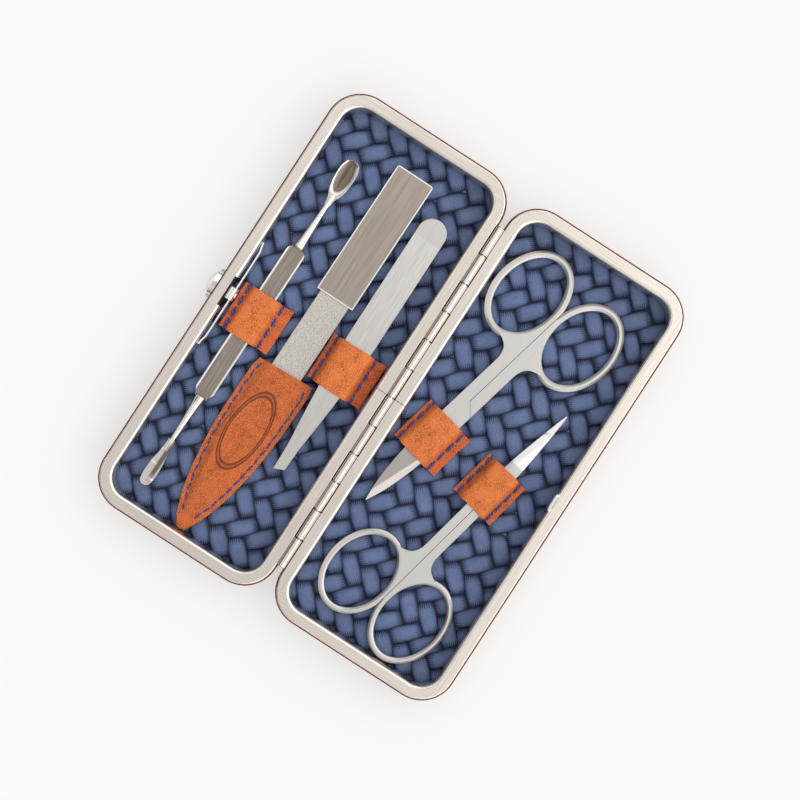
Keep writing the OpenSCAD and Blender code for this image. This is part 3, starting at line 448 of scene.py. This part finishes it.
def plait_leather():
    """Blue calf pressed into a plait: soft crowns, painted near black shade in the creases, painted shade
    towards sides and ends, and combed ends on every strand.
    """
    c = colours()
    made, tree, shader = material("Pressed plait leather", {"Roughness": 0.5, "Specular IOR Level": 0.35})
    plan = add(tree, "SeparateXYZ", {"Vector": add(tree, "TexCoord").outputs["UV"]})
    reach = []
    for axis in "XY":
        off = add(tree, "Math", {0: plan.outputs[axis], 1: 0.5}, operation="SUBTRACT")
        reach.append(add(tree, "Math", {0: off}, operation="ABSOLUTE"))
    along, across = reach
    # painted shade: near black in the crease at the edge of a strand, then a soft fall towards sides and ends,
    # as shading on a cushion
    crease_and_cushion_shade = product(tree, *(
        add(tree, "MapRange", {"Value": out, "From Min": edge, "From Max": crown, "To Min": least},
            interpolation_type="SMOOTHSTEP")
        for out, edge, crown, least in ((across, 0.47, 0.3, 0.0), (along, 0.48, 0.36, 0.0),
                                        (across, 0.5, 0.1, 0.58), (along, 0.5, 0.2, 0.52))))
    grain = add(tree, "TexNoise", {"Vector": scaled(tree, 0.4), "Scale": 1.0, "Detail": 2.0})
    mottle = add(tree, "TexNoise", {"Vector": scaled(tree, 4), "Scale": 1.0, "Detail": 4.0, "Roughness": 0.6})
    # comb: fine lines along the strand over the last fifth before either end
    comb = product(tree, plan.outputs["Y"], 52.0)
    wobble = add(tree, "Math", {0: grain, 1: 3.0, 2: comb}, operation="MULTIPLY_ADD")
    end = add(tree, "MapRange", {"Value": along, "From Min": 0.24, "From Max": 0.38})
    combed = product(tree, add(tree, "Math", {0: wobble}, operation="SINE"), end)
    # painted shade: the ends come out darker still, where the strands dive under; mottle, grain and comb lines
    # are the leather's own
    tone = 0.34
    for part, share in ((mottle, 0.42), (grain, 0.5), (combed, 0.34), (end, -0.14)):
        tone = add(tree, "Math", {0: part, 1: share, 2: tone}, operation="MULTIPLY_ADD")
    blue = add(tree, "ValToRGB", {"Fac": product(tree, tone, crease_and_cushion_shade)},
               ((0.05, c.crease), (0.45, linear("#38486B")), (0.95, c.lining)))
    lines = add(tree, "Bump", {"Height": combed, "Distance": 0.12 * MM, "Strength": 0.9})
    skin = add(tree, "Bump", {"Height": grain, "Distance": 0.07 * MM, "Strength": 0.6, "Normal": lines})
    connect(shader, {"Base Color": blue, "Normal": skin})
    return made


def waxed_thread():
    """Twisted and waxed linen thread: slanting ply lines, with a low gloss."""
    made, tree, shader = material("Waxed linen thread", {"Roughness": 0.45})
    twist = add(tree, "TexWave", {"Vector": scaled(tree, 1), "Scale": 0.55, "Distortion": 0.6},
                bands_direction="DIAGONAL").outputs["Fac"]
    tone = add(tree, "ValToRGB", {"Fac": twist}, ((0.1, linear("#141D45")), (0.8, colours().thread)))
    bump = add(tree, "Bump", {"Height": twist, "Distance": 0.1 * MM, "Strength": 0.7})
    connect(shader, {"Base Color": tone, "Normal": bump})
    return made


def fibre(name, light, dark, width):
    """Pressed fibre or foam that lies hidden in the halves."""
    made, tree, shader = material(name, {"Roughness": 0.85})
    flecks = add(tree, "TexNoise", {"Vector": scaled(tree, width), "Scale": 1.0, "Detail": 4.0})
    tone = add(tree, "ValToRGB", {"Fac": flecks}, ((0.35, linear(dark)), (0.65, linear(light))))
    bump = add(tree, "Bump", {"Height": flecks, "Distance": 0.05 * MM})
    connect(shader, {"Base Color": tone, "Normal": bump})
    return made


# ---------------------------------------------------------------- places, in metres, from the CAD model

def turned(point, degrees):
    """Matrix of a frame that stands at a point on the table plane and is turned about Z."""
    return Matrix.Translation(Vector(point)) @ Matrix.Rotation(math.radians(degrees), 4, "Z")


def middle(node):
    low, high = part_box(node)
    return (low + high) / 2


def foot_of(node):
    """The point of the table plane under a node's middle."""
    return (*middle(node).xy, 0)


# The camera: the point it hangs over, its turn in degrees, and the picture's width at the rims' height
CAMERA_OVER = (4.43 * MM, 0.76 * MM)
CAMERA_TURN = 33
RIM_HEIGHT = 0.012
PICTURE_WIDTH = 0.2374
LINING_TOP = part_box("base_lining")[1].z
LINING_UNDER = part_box("base_lining")[0].z
# Radius of the linings' corners, in millimetres
LINING_CORNER = 6.9
# How near a point has to be to count as being on a line of a grid
NEAR = 1e-4
# Turns of the tools about Z, in degrees, and the frames of both screws
FILE_TURN = -0.5
PUSHER_TURN = -0.4
NAIL_SCREW = turned(foot_of("nail_screw"), -13.6)
CUTICLE_SCREW = turned(foot_of("cuticle_screw"), 167.6)
# The pusher's axis in millimetres, and the middle and half lengths of its spoon's hollow
PUSHER_X = -45.99
SPOON = turned((-45.95 * MM, 47.9 * MM, 0), 0)
SPOON_HALF = (2.7, 6.5)
# Width of the painted highlight round the edges of the file's handle, in millimetres
EDGE_HIGHLIGHT_WIDTH = 0.35
# The hinge: its axis, half its length, the pitch of its knuckles, where the ends of the rims' strips meet,
# and where the rims' short ends begin, in millimetres
HINGE_X = 1.7
HINGE_HALF = 60.1
KNUCKLE_PITCH = 10.0
SEAM_Y = 0.0
RIM_END = 66.0

# Straps: body, frame on the table, reach to either side and half width of the loop, in millimetres
STRAPS = {
    "pusher_strap_loop": ("lid", turned((-46.05 * MM, middle("pusher_strap_loop").y, 0), 0),
                          (7.6, 9.4), 3.625),
    "tweezers_strap_loop": ("lid", turned((-14.65 * MM, middle("tweezers_strap_loop").y, 0), 0),
                            (8.4, 10.2), 4.4),
    "nail_strap_loop": ("base", NAIL_SCREW @ Matrix.Translation((-0.5 * MM, -3.8 * MM, 0)), (7.9, 9.3), 4.2),
    "cuticle_strap_loop": ("base", CUTICLE_SCREW @ Matrix.Translation((1.1 * MM, 0.8 * MM, 0)), (8, 7.4), 3.7),
}
# Length over which a strap climbs to the top of its loop, and its width, in millimetres
STRAP_RISE = 2.0
STRAP_WIDTH = 15.3
# Sheath: the frame of its mouth, and in millimetres its length, its half widths at fractions of it, its
# thickness, and how much its mouth slants for each millimetre across
SHEATH = turned((-28.7 * MM, -11.6 * MM, 0), -1.6)
SHEATH_LENGTH = 56.0
SHEATH_HALF = ((0.0, 9.1), (0.06, 9.7), (0.18, 9.72), (0.3, 9.65), (0.4, 9.4), (0.48, 9.05), (0.57, 8.45),
               (0.66, 7.7), (0.73, 6.9), (0.8, 6.0), (0.85, 5.1), (0.9, 4.1), (0.95, 2.9))
SHEATH_THICK = 0.85
MOUTH_SLANT = 0.07
# How far inside the sheath's edge it is sewn, in millimetres, and the height of the stitches
SEAM_IN = 1.4
SEAM_TOP = LINING_TOP + 1.85 * MM


# ---------------------------------------------------------------- pieces

class MANICURE_OT_stage(bpy.types.Operator):
    """Make the floor, the soft lamps, the world and the overhead camera"""

    bl_idname = "manicure.stage"
    bl_label = "Stage"

    def greys(self, *stops):
        """Stops of a colour ramp, each a place and a grey."""
        return [(place, (grey, grey, grey, 1)) for place, grey in stops]

    def execute(self, context):
        nothing_selected()
        bpy.ops.mesh.primitive_plane_add(size=6, location=(0, 0, 0))
        floor = named("floor")
        made, tree, shader = material("White table", {"Roughness": 0.8, "Specular IOR Level": 0.2,
                                                      "Base Color": colours().floor})
        # most of what the camera sees is the table's own white, so that the shadow stays light
        white = add(tree, "Emission", {"Color": linear("#FBFAF8"), "Strength": 1.0})
        seen = product(tree, add(tree, "LightPath").outputs["Is Camera Ray"], 0.6)
        table = add(tree, "MixShader", {0: seen, 1: shader, 2: white})
        connect(tree.nodes["Material Output"], {"Surface": table})
        floor.data.materials.append(made)
        for name, place, size, power in (("key", (0.55, 0.35, 0.7), 0.7, 0.5),
                                         ("fill", (-0.6, 0.1, 0.8), 0.9, 1.1)):
            bpy.ops.object.light_add(type="AREA", location=place)
            lamp = bpy.context.object
            lamp.name = name
            lamp.data.shape = "SQUARE"
            lamp.data.size = size
            lamp.data.energy = power
            lamp.rotation_euler = (-Vector(place)).to_track_quat("-Z", "Y").to_euler()
        scene = context.scene
        scene.world = bpy.data.worlds.new("Light tent")
        scene.world.use_nodes = True
        tree = scene.world.node_tree
        way = add(tree, "SeparateXYZ", {"Vector": add(tree, "TexCoord").outputs["Generated"]})
        x, y = way.outputs["X"], way.outputs["Y"]
        # a white tent round the table: dark where it ends near the table, bright on its sides and greyer
        # overhead, where the camera hangs
        tent = add(tree, "ValToRGB", {"Fac": way.outputs["Z"]}, self.greys(
            (0.0, 0.1), (0.12, 0.19), (0.35, 0.475), (0.6, 0.64), (0.85, 0.61), (0.95, 0.46), (1.0, 0.4)))
        # its right side is the brightest
        side = add(tree, "Math", {0: x, 1: 0.95, 2: 1.0}, operation="MULTIPLY_ADD")
        side = add(tree, "Math", {0: y, 1: 0.3, 2: side}, operation="MULTIPLY_ADD")
        side = add(tree, "Math", {0: side, 1: 0.2}, operation="MAXIMUM")
        # a lamp's white screen stands just right of the camera
        aside = add(tree, "Math", {0: y, 1: 0.5, 2: product(tree, x, 0.8)}, operation="MULTIPLY_ADD")
        screen = add(tree, "ValToRGB", {"Fac": aside},
                     self.greys((0.05, 0), (0.15, 0.5), (0.24, 0.5), (0.4, 0)))
        power = product(tree, add(tree, "Math", {0: side, 1: screen}, operation="ADD"), 1.7)
        # the camera itself sees plain white beyond the table
        looked = add(tree, "LightPath").outputs["Is Camera Ray"]
        connect(tree.nodes["Background"], {
            "Color": add(tree, "Mix", {0: looked, 6: tent, 7: (1, 1, 1, 1)}, data_type="RGBA"),
            "Strength": add(tree, "Mix", {0: looked, 2: power, 3: 1.0})})
        height = sizes().camera_height
        bpy.ops.object.camera_add(location=(*CAMERA_OVER, height), rotation=(0, 0, math.radians(CAMERA_TURN)))
        camera = bpy.context.object
        camera.data.sensor_width = 36
        camera.data.lens = camera.data.sensor_width * (height - RIM_HEIGHT) / PICTURE_WIDTH
        camera.data.clip_start = 0.01
        scene.camera = camera
        scene.view_settings.view_transform = "Standard"
        return {"FINISHED"}


class MANICURE_OT_rims(bpy.types.Operator):
    """Finish the two rims, the hinge and the latch"""

    bl_idname = "manicure.rims"
    bl_label = "Rims, hinge and latch"

    def execute(self, context):
        dress_nodes(satin_nickel(), "base_frame", "lid_frame")
        dress_nodes(bright_steel(), "hinge_pin", "catch_tongue", "button_bezel", "button_cap", "button_stem")
        # painted highlight: the latch spring and plate are painted white to near white, so that they look
        # bright
        dress_nodes(brushed("Spring steel with painted highlight", "#FFFFFF", "#F2EFEC", 0.42), "latch_spring", "latch_plate")
        return {"FINISHED"}


class MANICURE_OT_shells(bpy.types.Operator):
    """Finish the leather covers and the board and padding inside them"""

    bl_idname = "manicure.shells"
    bl_label = "Covers, boards and padding"

    def execute(self, context):
        dress_nodes(leather("Red brown calf", colours().cover, linear("#4E1D14"), 0.8, rough=0.45),
                    "base_cover", "lid_cover")
        dress_nodes(fibre("Black fibre board", "#3C3632", "#26211E", 0.6), "base_board", "lid_board")
        dress_nodes(fibre("Cotton wadding", "#EFEADC", "#D8D1BF", 0.9), "base_padding", "lid_padding")
        return {"FINISHED"}


class MANICURE_OT_tools(bpy.types.Operator):
    """Finish the pusher, the file, the tweezers and both scissors"""

    bl_idname = "manicure.tools"
    bl_label = "Tools"

    def execute(self, context):
        # the pusher's flat grip ends 31.3 mm from its paddle's tip and 30.7 mm from its spoon's
        low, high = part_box("cuticle_pusher")
        paddle = (-46.4 * MM, low.y + 9 * MM, 0)
        dress_nodes(pusher_steel(low.y + 31.3 * MM, high.y - 30.7 * MM, paddle), "cuticle_pusher")
        dress_nodes(brushed("Satin brushed steel", "#DEDAD6", "#D0CBC6", 0.3, line=(0.22, 16, 0.22)),
                    "tweezers_upper_arm", "tweezers_lower_arm")
        dress_nodes(satin_steel("Satin stainless, broad blade", NAIL_SCREW, -11, "#B8B0AC"),
                    "nail_half_upper", "nail_half_lower", "nail_screw")
        dress_nodes(satin_steel("Satin stainless, fine blade", CUTICLE_SCREW, -10, "#FFFDFB"),
                    "cuticle_half_upper", "cuticle_half_lower", "cuticle_screw")
        grip_of_file = turned(foot_of("file_handle"), FILE_TURN)
        dress_nodes(brushed("Brushed steel plate", "#B9AEA3", "#A4998E", 0.3, line=(0.22, 16, 0.22),
                            edges=(grip_of_file, 6.3, 22.1)), "file_handle")
        dress_nodes(file_grit(), "file_blade")
        # the rounded edges of the tools catch the light
        scissors = ("nail_half_upper", "nail_half_lower", "cuticle_half_upper", "cuticle_half_lower")
        for node, width in (("tweezers_upper_arm", 0.2), *((half, 0.25) for half in scissors),
                            ("cuticle_pusher", 0.5)):
            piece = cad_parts[node]
            modifier(piece, "WELD", merge_threshold=0.002 * MM)
            modifier(piece, "BEVEL", width=width * MM, segments=2, limit_method="ANGLE",
                     angle_limit=math.radians(42))
        return {"FINISHED"}


class MANICURE_OT_linings(bpy.types.Operator):
    """Press the plait into the two linings"""

    bl_idname = "manicure.linings"
    bl_label = "Plaited linings"

    def strand(self, long, wide):
        """One strand as it shows in the plait: bowed sides, a flat crown, and ends that dive under."""
        along = (-0.5, -0.465, -0.41, -0.32, -0.18, 0, 0.18, 0.32, 0.41, 0.465, 0.5)
        arch = (0, 0.28, 0.5, 0.74, 0.94, 1, 0.94, 0.74, 0.5, 0.28, 0)
        bow = (0.7, 0.8, 0.88, 0.96, 1.03, 1.06, 1.03, 0.96, 0.88, 0.8, 0.7)
        across = (-0.5, -0.465, -0.39, -0.24, 0, 0.24, 0.39, 0.465, 0.5)
        crown = (0, 0.55, 0.82, 0.96, 1, 0.96, 0.82, 0.55, 0)
        nothing_selected()
        bpy.ops.mesh.primitive_grid_add(x_subdivisions=len(along) - 1, y_subdivisions=len(across) - 1, size=1,
                                        location=(0, 0, 0))
        piece = named("strand")
        for i, x in enumerate(along):
            column = i / (len(along) - 1) - 0.5
            pick(piece, lambda co, column=column: co.z == 0 and abs(co.x - column) < NEAR)
            bpy.ops.transform.translate(value=(x - column, 0, arch[i]))
        for i, y in enumerate(across):
            row = i / (len(across) - 1) - 0.5
            pick(piece, lambda co, row=row: abs(co.y - row) < NEAR)
            bpy.ops.transform.translate(value=(0, y - row, 0))
            bpy.ops.transform.resize(value=(1, 1, crown[i]), center_override=(0, 0, 0))
        mode("OBJECT")
        plan = piece.data.uv_layers.active or piece.data.uv_layers.new(name="UVMap")
        for loop in piece.data.loops:
            place = piece.data.vertices[loop.vertex_index].co
            plan.data[loop.index].uv = (place.x + 0.5, place.y + 0.5)
        for i, x in enumerate(along):
            pick(piece, lambda co, x=x: abs(co.x - x) < NEAR)
            bpy.ops.transform.resize(value=(1, bow[i], 1), center_override=(x, 0, 0))
        bpy.ops.mesh.select_all(action="SELECT")
        bpy.ops.transform.resize(value=(long, wide, sizes().plait_relief), center_override=(0, 0, 0))
        mode("OBJECT")
        return piece

    def execute(self, context):
        s = sizes()
        step, row = s.plait_step, s.plait_row
        blue = plait_leather()
        corner = LINING_CORNER * MM
        # each half's pattern is laid out from a crossing at this point, in millimetres
        for node, body, start in (("base_lining", "base", (51.0, 1.0)), ("lid_lining", "lid", (-49.2, 59.2))):
            low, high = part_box(node)
            # the strands stand on a flat backing and reach a little into it
            base = LINING_TOP - s.plait_relief - 0.02 * MM
            ground = base + 0.06 * MM
            right = self.strand(row * math.sqrt(2) * 1.08, step / math.sqrt(2) * 1.2)
            left = copy_of(right, turned((step / 2, row, 0), 135))
            right.data.transform(turned((0, 0, 0), 45))
            pair = joined([right, left], body + "_plait")
            across = math.ceil((high.x - low.x) / step) + 3
            rows = math.ceil((high.y - low.y) / (2 * row)) + 2
            x0 = start[0] * MM - math.ceil((start[0] * MM - low.x) / step + 1) * step
            y0 = start[1] * MM - math.ceil((start[1] * MM - low.y) / (2 * row)) * 2 * row
            for count, offset in ((across, (step, 0, 0)), (rows, (0, 2 * row, 0))):
                modifier(pair, "ARRAY", count=count, use_relative_offset=False, use_constant_offset=True,
                         constant_offset_displace=offset)
            apply_modifiers(pair)
            settle(pair, Matrix.Translation((x0, y0, base)))
            self.loosen(pair)
            self.trim(pair, low, high, corner)
            nothing_selected()
            bpy.ops.mesh.primitive_cube_add(size=1, location=(0, 0, 0))
            back = named("backing")
            back.scale = (high.x - low.x, high.y - low.y, ground - LINING_UNDER)
            back.location = (*middle(node).xy, (ground + LINING_UNDER) / 2)
            bpy.context.view_layer.update()
            settle(back)
            self.round_corners(back, corner)
            lining = joined([pair, back], body + "_plaited_lining")
            smooth(lining, 60)
            dress(lining, blue)
            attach(lining, body)
            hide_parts(node)
        return {"FINISHED"}

    def loosen(self, piece):
        """Shifts the strands a little, so that no two are quite alike, and levels their crests again."""
        uneven(piece, "Unevenness of the press", 9, 0.9)
        apply_modifiers(piece)
        pick(piece, lambda co: co.z > LINING_TOP)
        bpy.ops.transform.resize(value=(1, 1, 0), center_override=(0, 0, LINING_TOP))
        mode("OBJECT")

    def trim(self, piece, low, high, r):
        """Cuts the pattern to the lining's outline, round corners included."""
        only(piece)
        cuts = [((low.x, 0, 0), (-1, 0, 0)), ((high.x, 0, 0), (1, 0, 0)),
                ((0, low.y, 0), (0, -1, 0)), ((0, high.y, 0), (0, 1, 0))]
        for sx in (-1, 1):
            for sy in (-1, 1):
                corner = Vector((high.x - r if sx > 0 else low.x + r, high.y - r if sy > 0 else low.y + r, 0))
                for turn in (22.5, 45, 67.5):
                    out = Vector((sx * math.cos(math.radians(turn)), sy * math.sin(math.radians(turn)), 0))
                    cuts.append((tuple(corner + out * r), tuple(out)))
        mode("EDIT")
        for place, out in cuts:
            bpy.ops.mesh.select_all(action="SELECT")
            bpy.ops.mesh.bisect(plane_co=place, plane_no=out, clear_outer=True)
        mode("OBJECT")

    def round_corners(self, piece, r):
        only(piece)
        mode("EDIT")
        bpy.ops.mesh.select_mode(type="EDGE")
        bpy.ops.mesh.select_all(action="DESELECT")
        mode("OBJECT")
        for edge in piece.data.edges:
            foot, head = (piece.data.vertices[i].co for i in edge.vertices)
            edge.select = abs(foot.z - head.z) > NEAR * MM
        mode("EDIT")
        bpy.ops.mesh.bevel(offset=r, segments=8, affect="EDGES")
        mode("OBJECT")


class MANICURE_OT_straps(bpy.types.Operator):
    """Form the four tan straps over the tools"""

    bl_idname = "manicure.straps"
    bl_label = "Straps"

    def execute(self, context):
        s = sizes()
        # painted light: darker and redder where it lies flat, as shaded, and paler where it is drawn up over a
        # tool, as lit
        tan = leather("Tan calf", colours().flap, linear("#7A3013"), 0.6, full=0.85,
                      raised=(colours().strap, linear("#A2481F")))
        edge = leather("Cut edge of tan calf", linear("#EBB58A"), linear("#C07A4C"), 0.4, rough=0.8)
        for node, (body, place, reach, loop) in STRAPS.items():
            low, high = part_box(node)
            t = s.strap_thickness
            flat = low.z + t / 2
            top = high.z - t / 2
            foot = loop + STRAP_RISE
            climb = [STRAP_RISE * i / 6 for i in range(7)]
            xs = [-reach[0], -foot - 0.9, *(-foot + c for c in climb), -loop / 2, 0, loop / 2,
                  *(loop + c for c in climb), foot + 0.9, reach[1]]
            xs = [x * MM for x in xs]
            nothing_selected()
            bpy.ops.mesh.primitive_grid_add(x_subdivisions=len(xs) - 1, y_subdivisions=10, size=1,
                                            location=(0, 0, 0))
            strap = named(node.replace("_loop", "_leather"))
            for i, x in enumerate(xs):
                column = i / (len(xs) - 1) - 0.5
                share = min(max((abs(x) - loop * MM) / (STRAP_RISE * MM), 0), 1)
                rise = (top - flat) * (1 - ease(share))
                pick(strap, lambda co, column=column: co.z == 0 and abs(co.x - column) < NEAR)
                bpy.ops.transform.translate(value=(x - column, 0, flat + rise))
                # the sewing draws the leather in, and it bulges again over the tool
                drawn_in = 0.05 * share ** 2 if share < 1 else 0.05 * max(1 - (abs(x) / MM - foot) / 1.6, 0)
                bpy.ops.transform.resize(value=(1, STRAP_WIDTH * MM * (1.01 - drawn_in), 1))
            mode("OBJECT")
            settle(strap, place)
            uneven(strap, "Unevenness of a hand cut strap", 5, 0.5)
            modifier(strap, "SOLIDIFY", thickness=t, offset=0, material_offset_rim=1)
            modifier(strap, "BEVEL", width=0.24 * MM, segments=2, limit_method="ANGLE",
                     angle_limit=math.radians(50), material=1)
            apply_modifiers(strap)
            dress(strap, tan, edge)
            smooth(strap, 50)
            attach(strap, body)
            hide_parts(node)
        return {"FINISHED"}


class MANICURE_OT_sheath(bpy.types.Operator):
    """Form the sheath over the file's blade"""

    bl_idname = "manicure.sheath"
    bl_label = "Sheath"

    def execute(self, context):
        middle_of_oval = SHEATH @ Matrix.Translation((0, -20.5 * MM, 0))
        tan = leather("Tan calf of the sheath", linear("#DC753D"), linear("#96421D"), 0.6,
                      cut=linear("#D9965F"), oval=(middle_of_oval, (6.0, 13.6)))
        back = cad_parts["sheath_back"].copy()
        back.data = back.data.copy()
        back.parent = None
        for key in list(back.keys()):
            del back[key]
        context.collection.objects.link(back)
        back.name = back.data.name = "sheath_back_leather"
        only(back)
        mode("EDIT")
        bpy.ops.mesh.select_all(action="SELECT")
        bpy.ops.mesh.remove_doubles(threshold=0.001 * MM)
        mode("OBJECT")
        modifier(back, "REMESH", mode="VOXEL", voxel_size=0.28 * MM)
        modifier(back, "SMOOTH", iterations=4, factor=0.5)
        front = self.front()
        for piece, node in ((back, "sheath_back"), (front, "sheath_front")):
            apply_modifiers(piece)
            dress(piece, tan)
            smooth(piece, 60)
            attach(piece, "lid")
            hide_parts(node)
        return {"FINISHED"}

    def front(self):
        """Front of the sheath: a sheet sewn flat along its sides and drawn up over the blade between them."""
        low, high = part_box("sheath_front")
        t = SHEATH_THICK * MM
        rise = high.z - low.z - t
        rows, columns = 56, 28
        nothing_selected()
        bpy.ops.mesh.primitive_grid_add(x_subdivisions=columns, y_subdivisions=rows, size=2, location=(0, 0, 0))
        sheet = named("sheath_front_leather")
        for v in sheet.data.vertices:
            far = (1 - v.co.y) / 2
            half = self.half_width(far)
            # the sheet's points crowd at its sides, where it bends
            x = math.sin(v.co.x * math.pi / 2) * half
            y = -far * SHEATH_LENGTH + MOUTH_SLANT * (x + half) * (1 - far)
            inside = min(half - abs(x), (1 - far) * SHEATH_LENGTH * 0.3)
            # flat for 1.7 mm where it is sewn, then up over the next 2.3 mm
            share = min(max((inside - 1.7) / 2.3, 0), 1)
            v.co = (x * MM, y * MM, low.z + t / 2 + rise * ease(share))
        settle(sheet, SHEATH)
        modifier(sheet, "SOLIDIFY", thickness=t, offset=0)
        modifier(sheet, "BEVEL", width=0.15 * MM, segments=2, limit_method="ANGLE",
                 angle_limit=math.radians(50))
        return sheet

    def half_width(self, far):
        """Half width of the sheath in millimetres at a fraction of its length from the mouth."""
        line = SHEATH_HALF + ((1.0, 0.5),)
        for (a, wide), (b, narrow) in zip(line, line[1:]):
            if far <= b:
                return wide + (narrow - wide) * (far - a) / (b - a)
        return line[-1][1]


class MANICURE_OT_stitches(bpy.types.Operator):
    """Sew the straps and the sheath down"""

    bl_idname = "manicure.stitches"
    bl_label = "Stitches"

    def stitch(self):
        """One stitch: a fat middle with both ends drawn down into their holes."""
        s = sizes()
        r = s.thread_width / 2
        nothing_selected()
        bpy.ops.mesh.primitive_uv_sphere_add(segments=10, ring_count=6, radius=r, location=(0, 0, 0))
        piece = named("stitch")
        reach = s.stitch_step * 0.47 - r
        for side in (-1, 1):
            pick(piece, lambda co: co.y * side > r * 0.1)
            bpy.ops.transform.translate(value=(0, side * reach * 0.5, 0))
            pick(piece, lambda co: co.y * side > reach * 0.5 + r * 0.4)
            bpy.ops.transform.translate(value=(0, side * reach * 0.5, -r * 0.7))
            pick(piece, lambda co: co.y * side > reach * 0.9)
            bpy.ops.transform.resize(value=(0.6, 1, 0.8), center_override=(0, 0, 0))
        mode("OBJECT")
        return piece

    def execute(self, context):
        s = sizes()
        thread = waxed_thread()
        one = self.stitch()
        copies = {"base": [], "lid": []}
        for node, (body, place, _, loop) in STRAPS.items():
            low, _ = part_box(node)
            z = low.z + s.strap_thickness + s.thread_width * 0.1
            foot = loop + STRAP_RISE + 0.35
            for side in (-1, 1):
                for i in range(4):
                    y = (i - 1.5) * s.stitch_step
                    copies[body].append(copy_of(one, place @ turned((side * foot * MM, y, z), 6)))
                # the thread goes over the strap's edge and down into the lining
                for end in (-1, 1):
                    at = (Matrix.Translation((side * foot * MM, end * 7.75 * MM, z - 0.55 * MM))
                          @ Matrix.Rotation(math.radians(-58 * end), 4, "X") @ Matrix.Scale(0.55, 4))
                    copies[body].append(copy_of(one, place @ at))
        fine = copy_of(one, Matrix.Diagonal((0.6, s.sheath_stitch_step / s.stitch_step * 1.04, 0.6, 1)))
        for place, turn in self.round_sheath(s.sheath_stitch_step):
            at = Matrix.Translation((*place, SEAM_TOP)) @ Matrix.Rotation(turn, 4, "Z")
            copies["lid"].append(copy_of(fine, SHEATH @ at))
        bpy.data.objects.remove(one)
        bpy.data.objects.remove(fine)
        for body, parts in copies.items():
            sewn = joined(parts, body + "_stitches")
            dress(sewn, thread)
            smooth(sewn, 60)
            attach(sewn, body)
        return {"FINISHED"}

    def round_sheath(self, step):
        """Places of the stitches round the sheath, a little inside its edge, with their turns."""
        side = [Vector((half - SEAM_IN, -0.6 * SEAM_IN - far * (SHEATH_LENGTH - 1.4 * SEAM_IN))) * MM
                for far, half in SHEATH_HALF]
        places = []
        for hand in (-1, 1):
            line = [Vector((p.x * hand, p.y)) for p in side]
            due = step * 0.5
            for a, b in zip(line, line[1:]):
                run = (b - a).length
                while due < run:
                    lean = 0.12 if len(places) % 2 else -0.12
                    places.append((a.lerp(b, due / run), math.atan2(b.y - a.y, b.x - a.x) - math.pi / 2 + lean))
                    due += step
                due -= run
        return places


class MANICURE_PT_panel(bpy.types.Panel):
    """Sizes and colours of the case, and a button for each group of pieces"""

    bl_label = "Manicure case"
    bl_idname = "MANICURE_PT_panel"
    bl_space_type = "VIEW_3D"
    bl_region_type = "UI"
    bl_category = "Manicure Case"

    def draw(self, context):
        for group in (context.scene.manicure_sizes, context.scene.manicure_colours):
            for name in group.__annotations__:
                self.layout.prop(group, name)
        for operator in OPERATORS:
            self.layout.operator(operator.bl_idname)


OPERATORS = (MANICURE_OT_stage, MANICURE_OT_rims, MANICURE_OT_shells, MANICURE_OT_tools, MANICURE_OT_linings,
             MANICURE_OT_straps, MANICURE_OT_sheath, MANICURE_OT_stitches)
CLASSES = (CaseSizes, CaseColours, *OPERATORS, MANICURE_PT_panel)


def register():
    for c in CLASSES:
        bpy.utils.register_class(c)
    bpy.types.Scene.manicure_sizes = PointerProperty(type=CaseSizes)
    bpy.types.Scene.manicure_colours = PointerProperty(type=CaseColours)


def unregister():
    del bpy.types.Scene.manicure_colours
    del bpy.types.Scene.manicure_sizes
    for c in reversed(CLASSES):
        bpy.utils.unregister_class(c)


def main():
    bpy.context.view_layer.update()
    register()
    for operator in OPERATORS:
        group, name = operator.bl_idname.split(".")
        getattr(getattr(bpy.ops, group), name)()


if __name__ == "__main__":
    main()
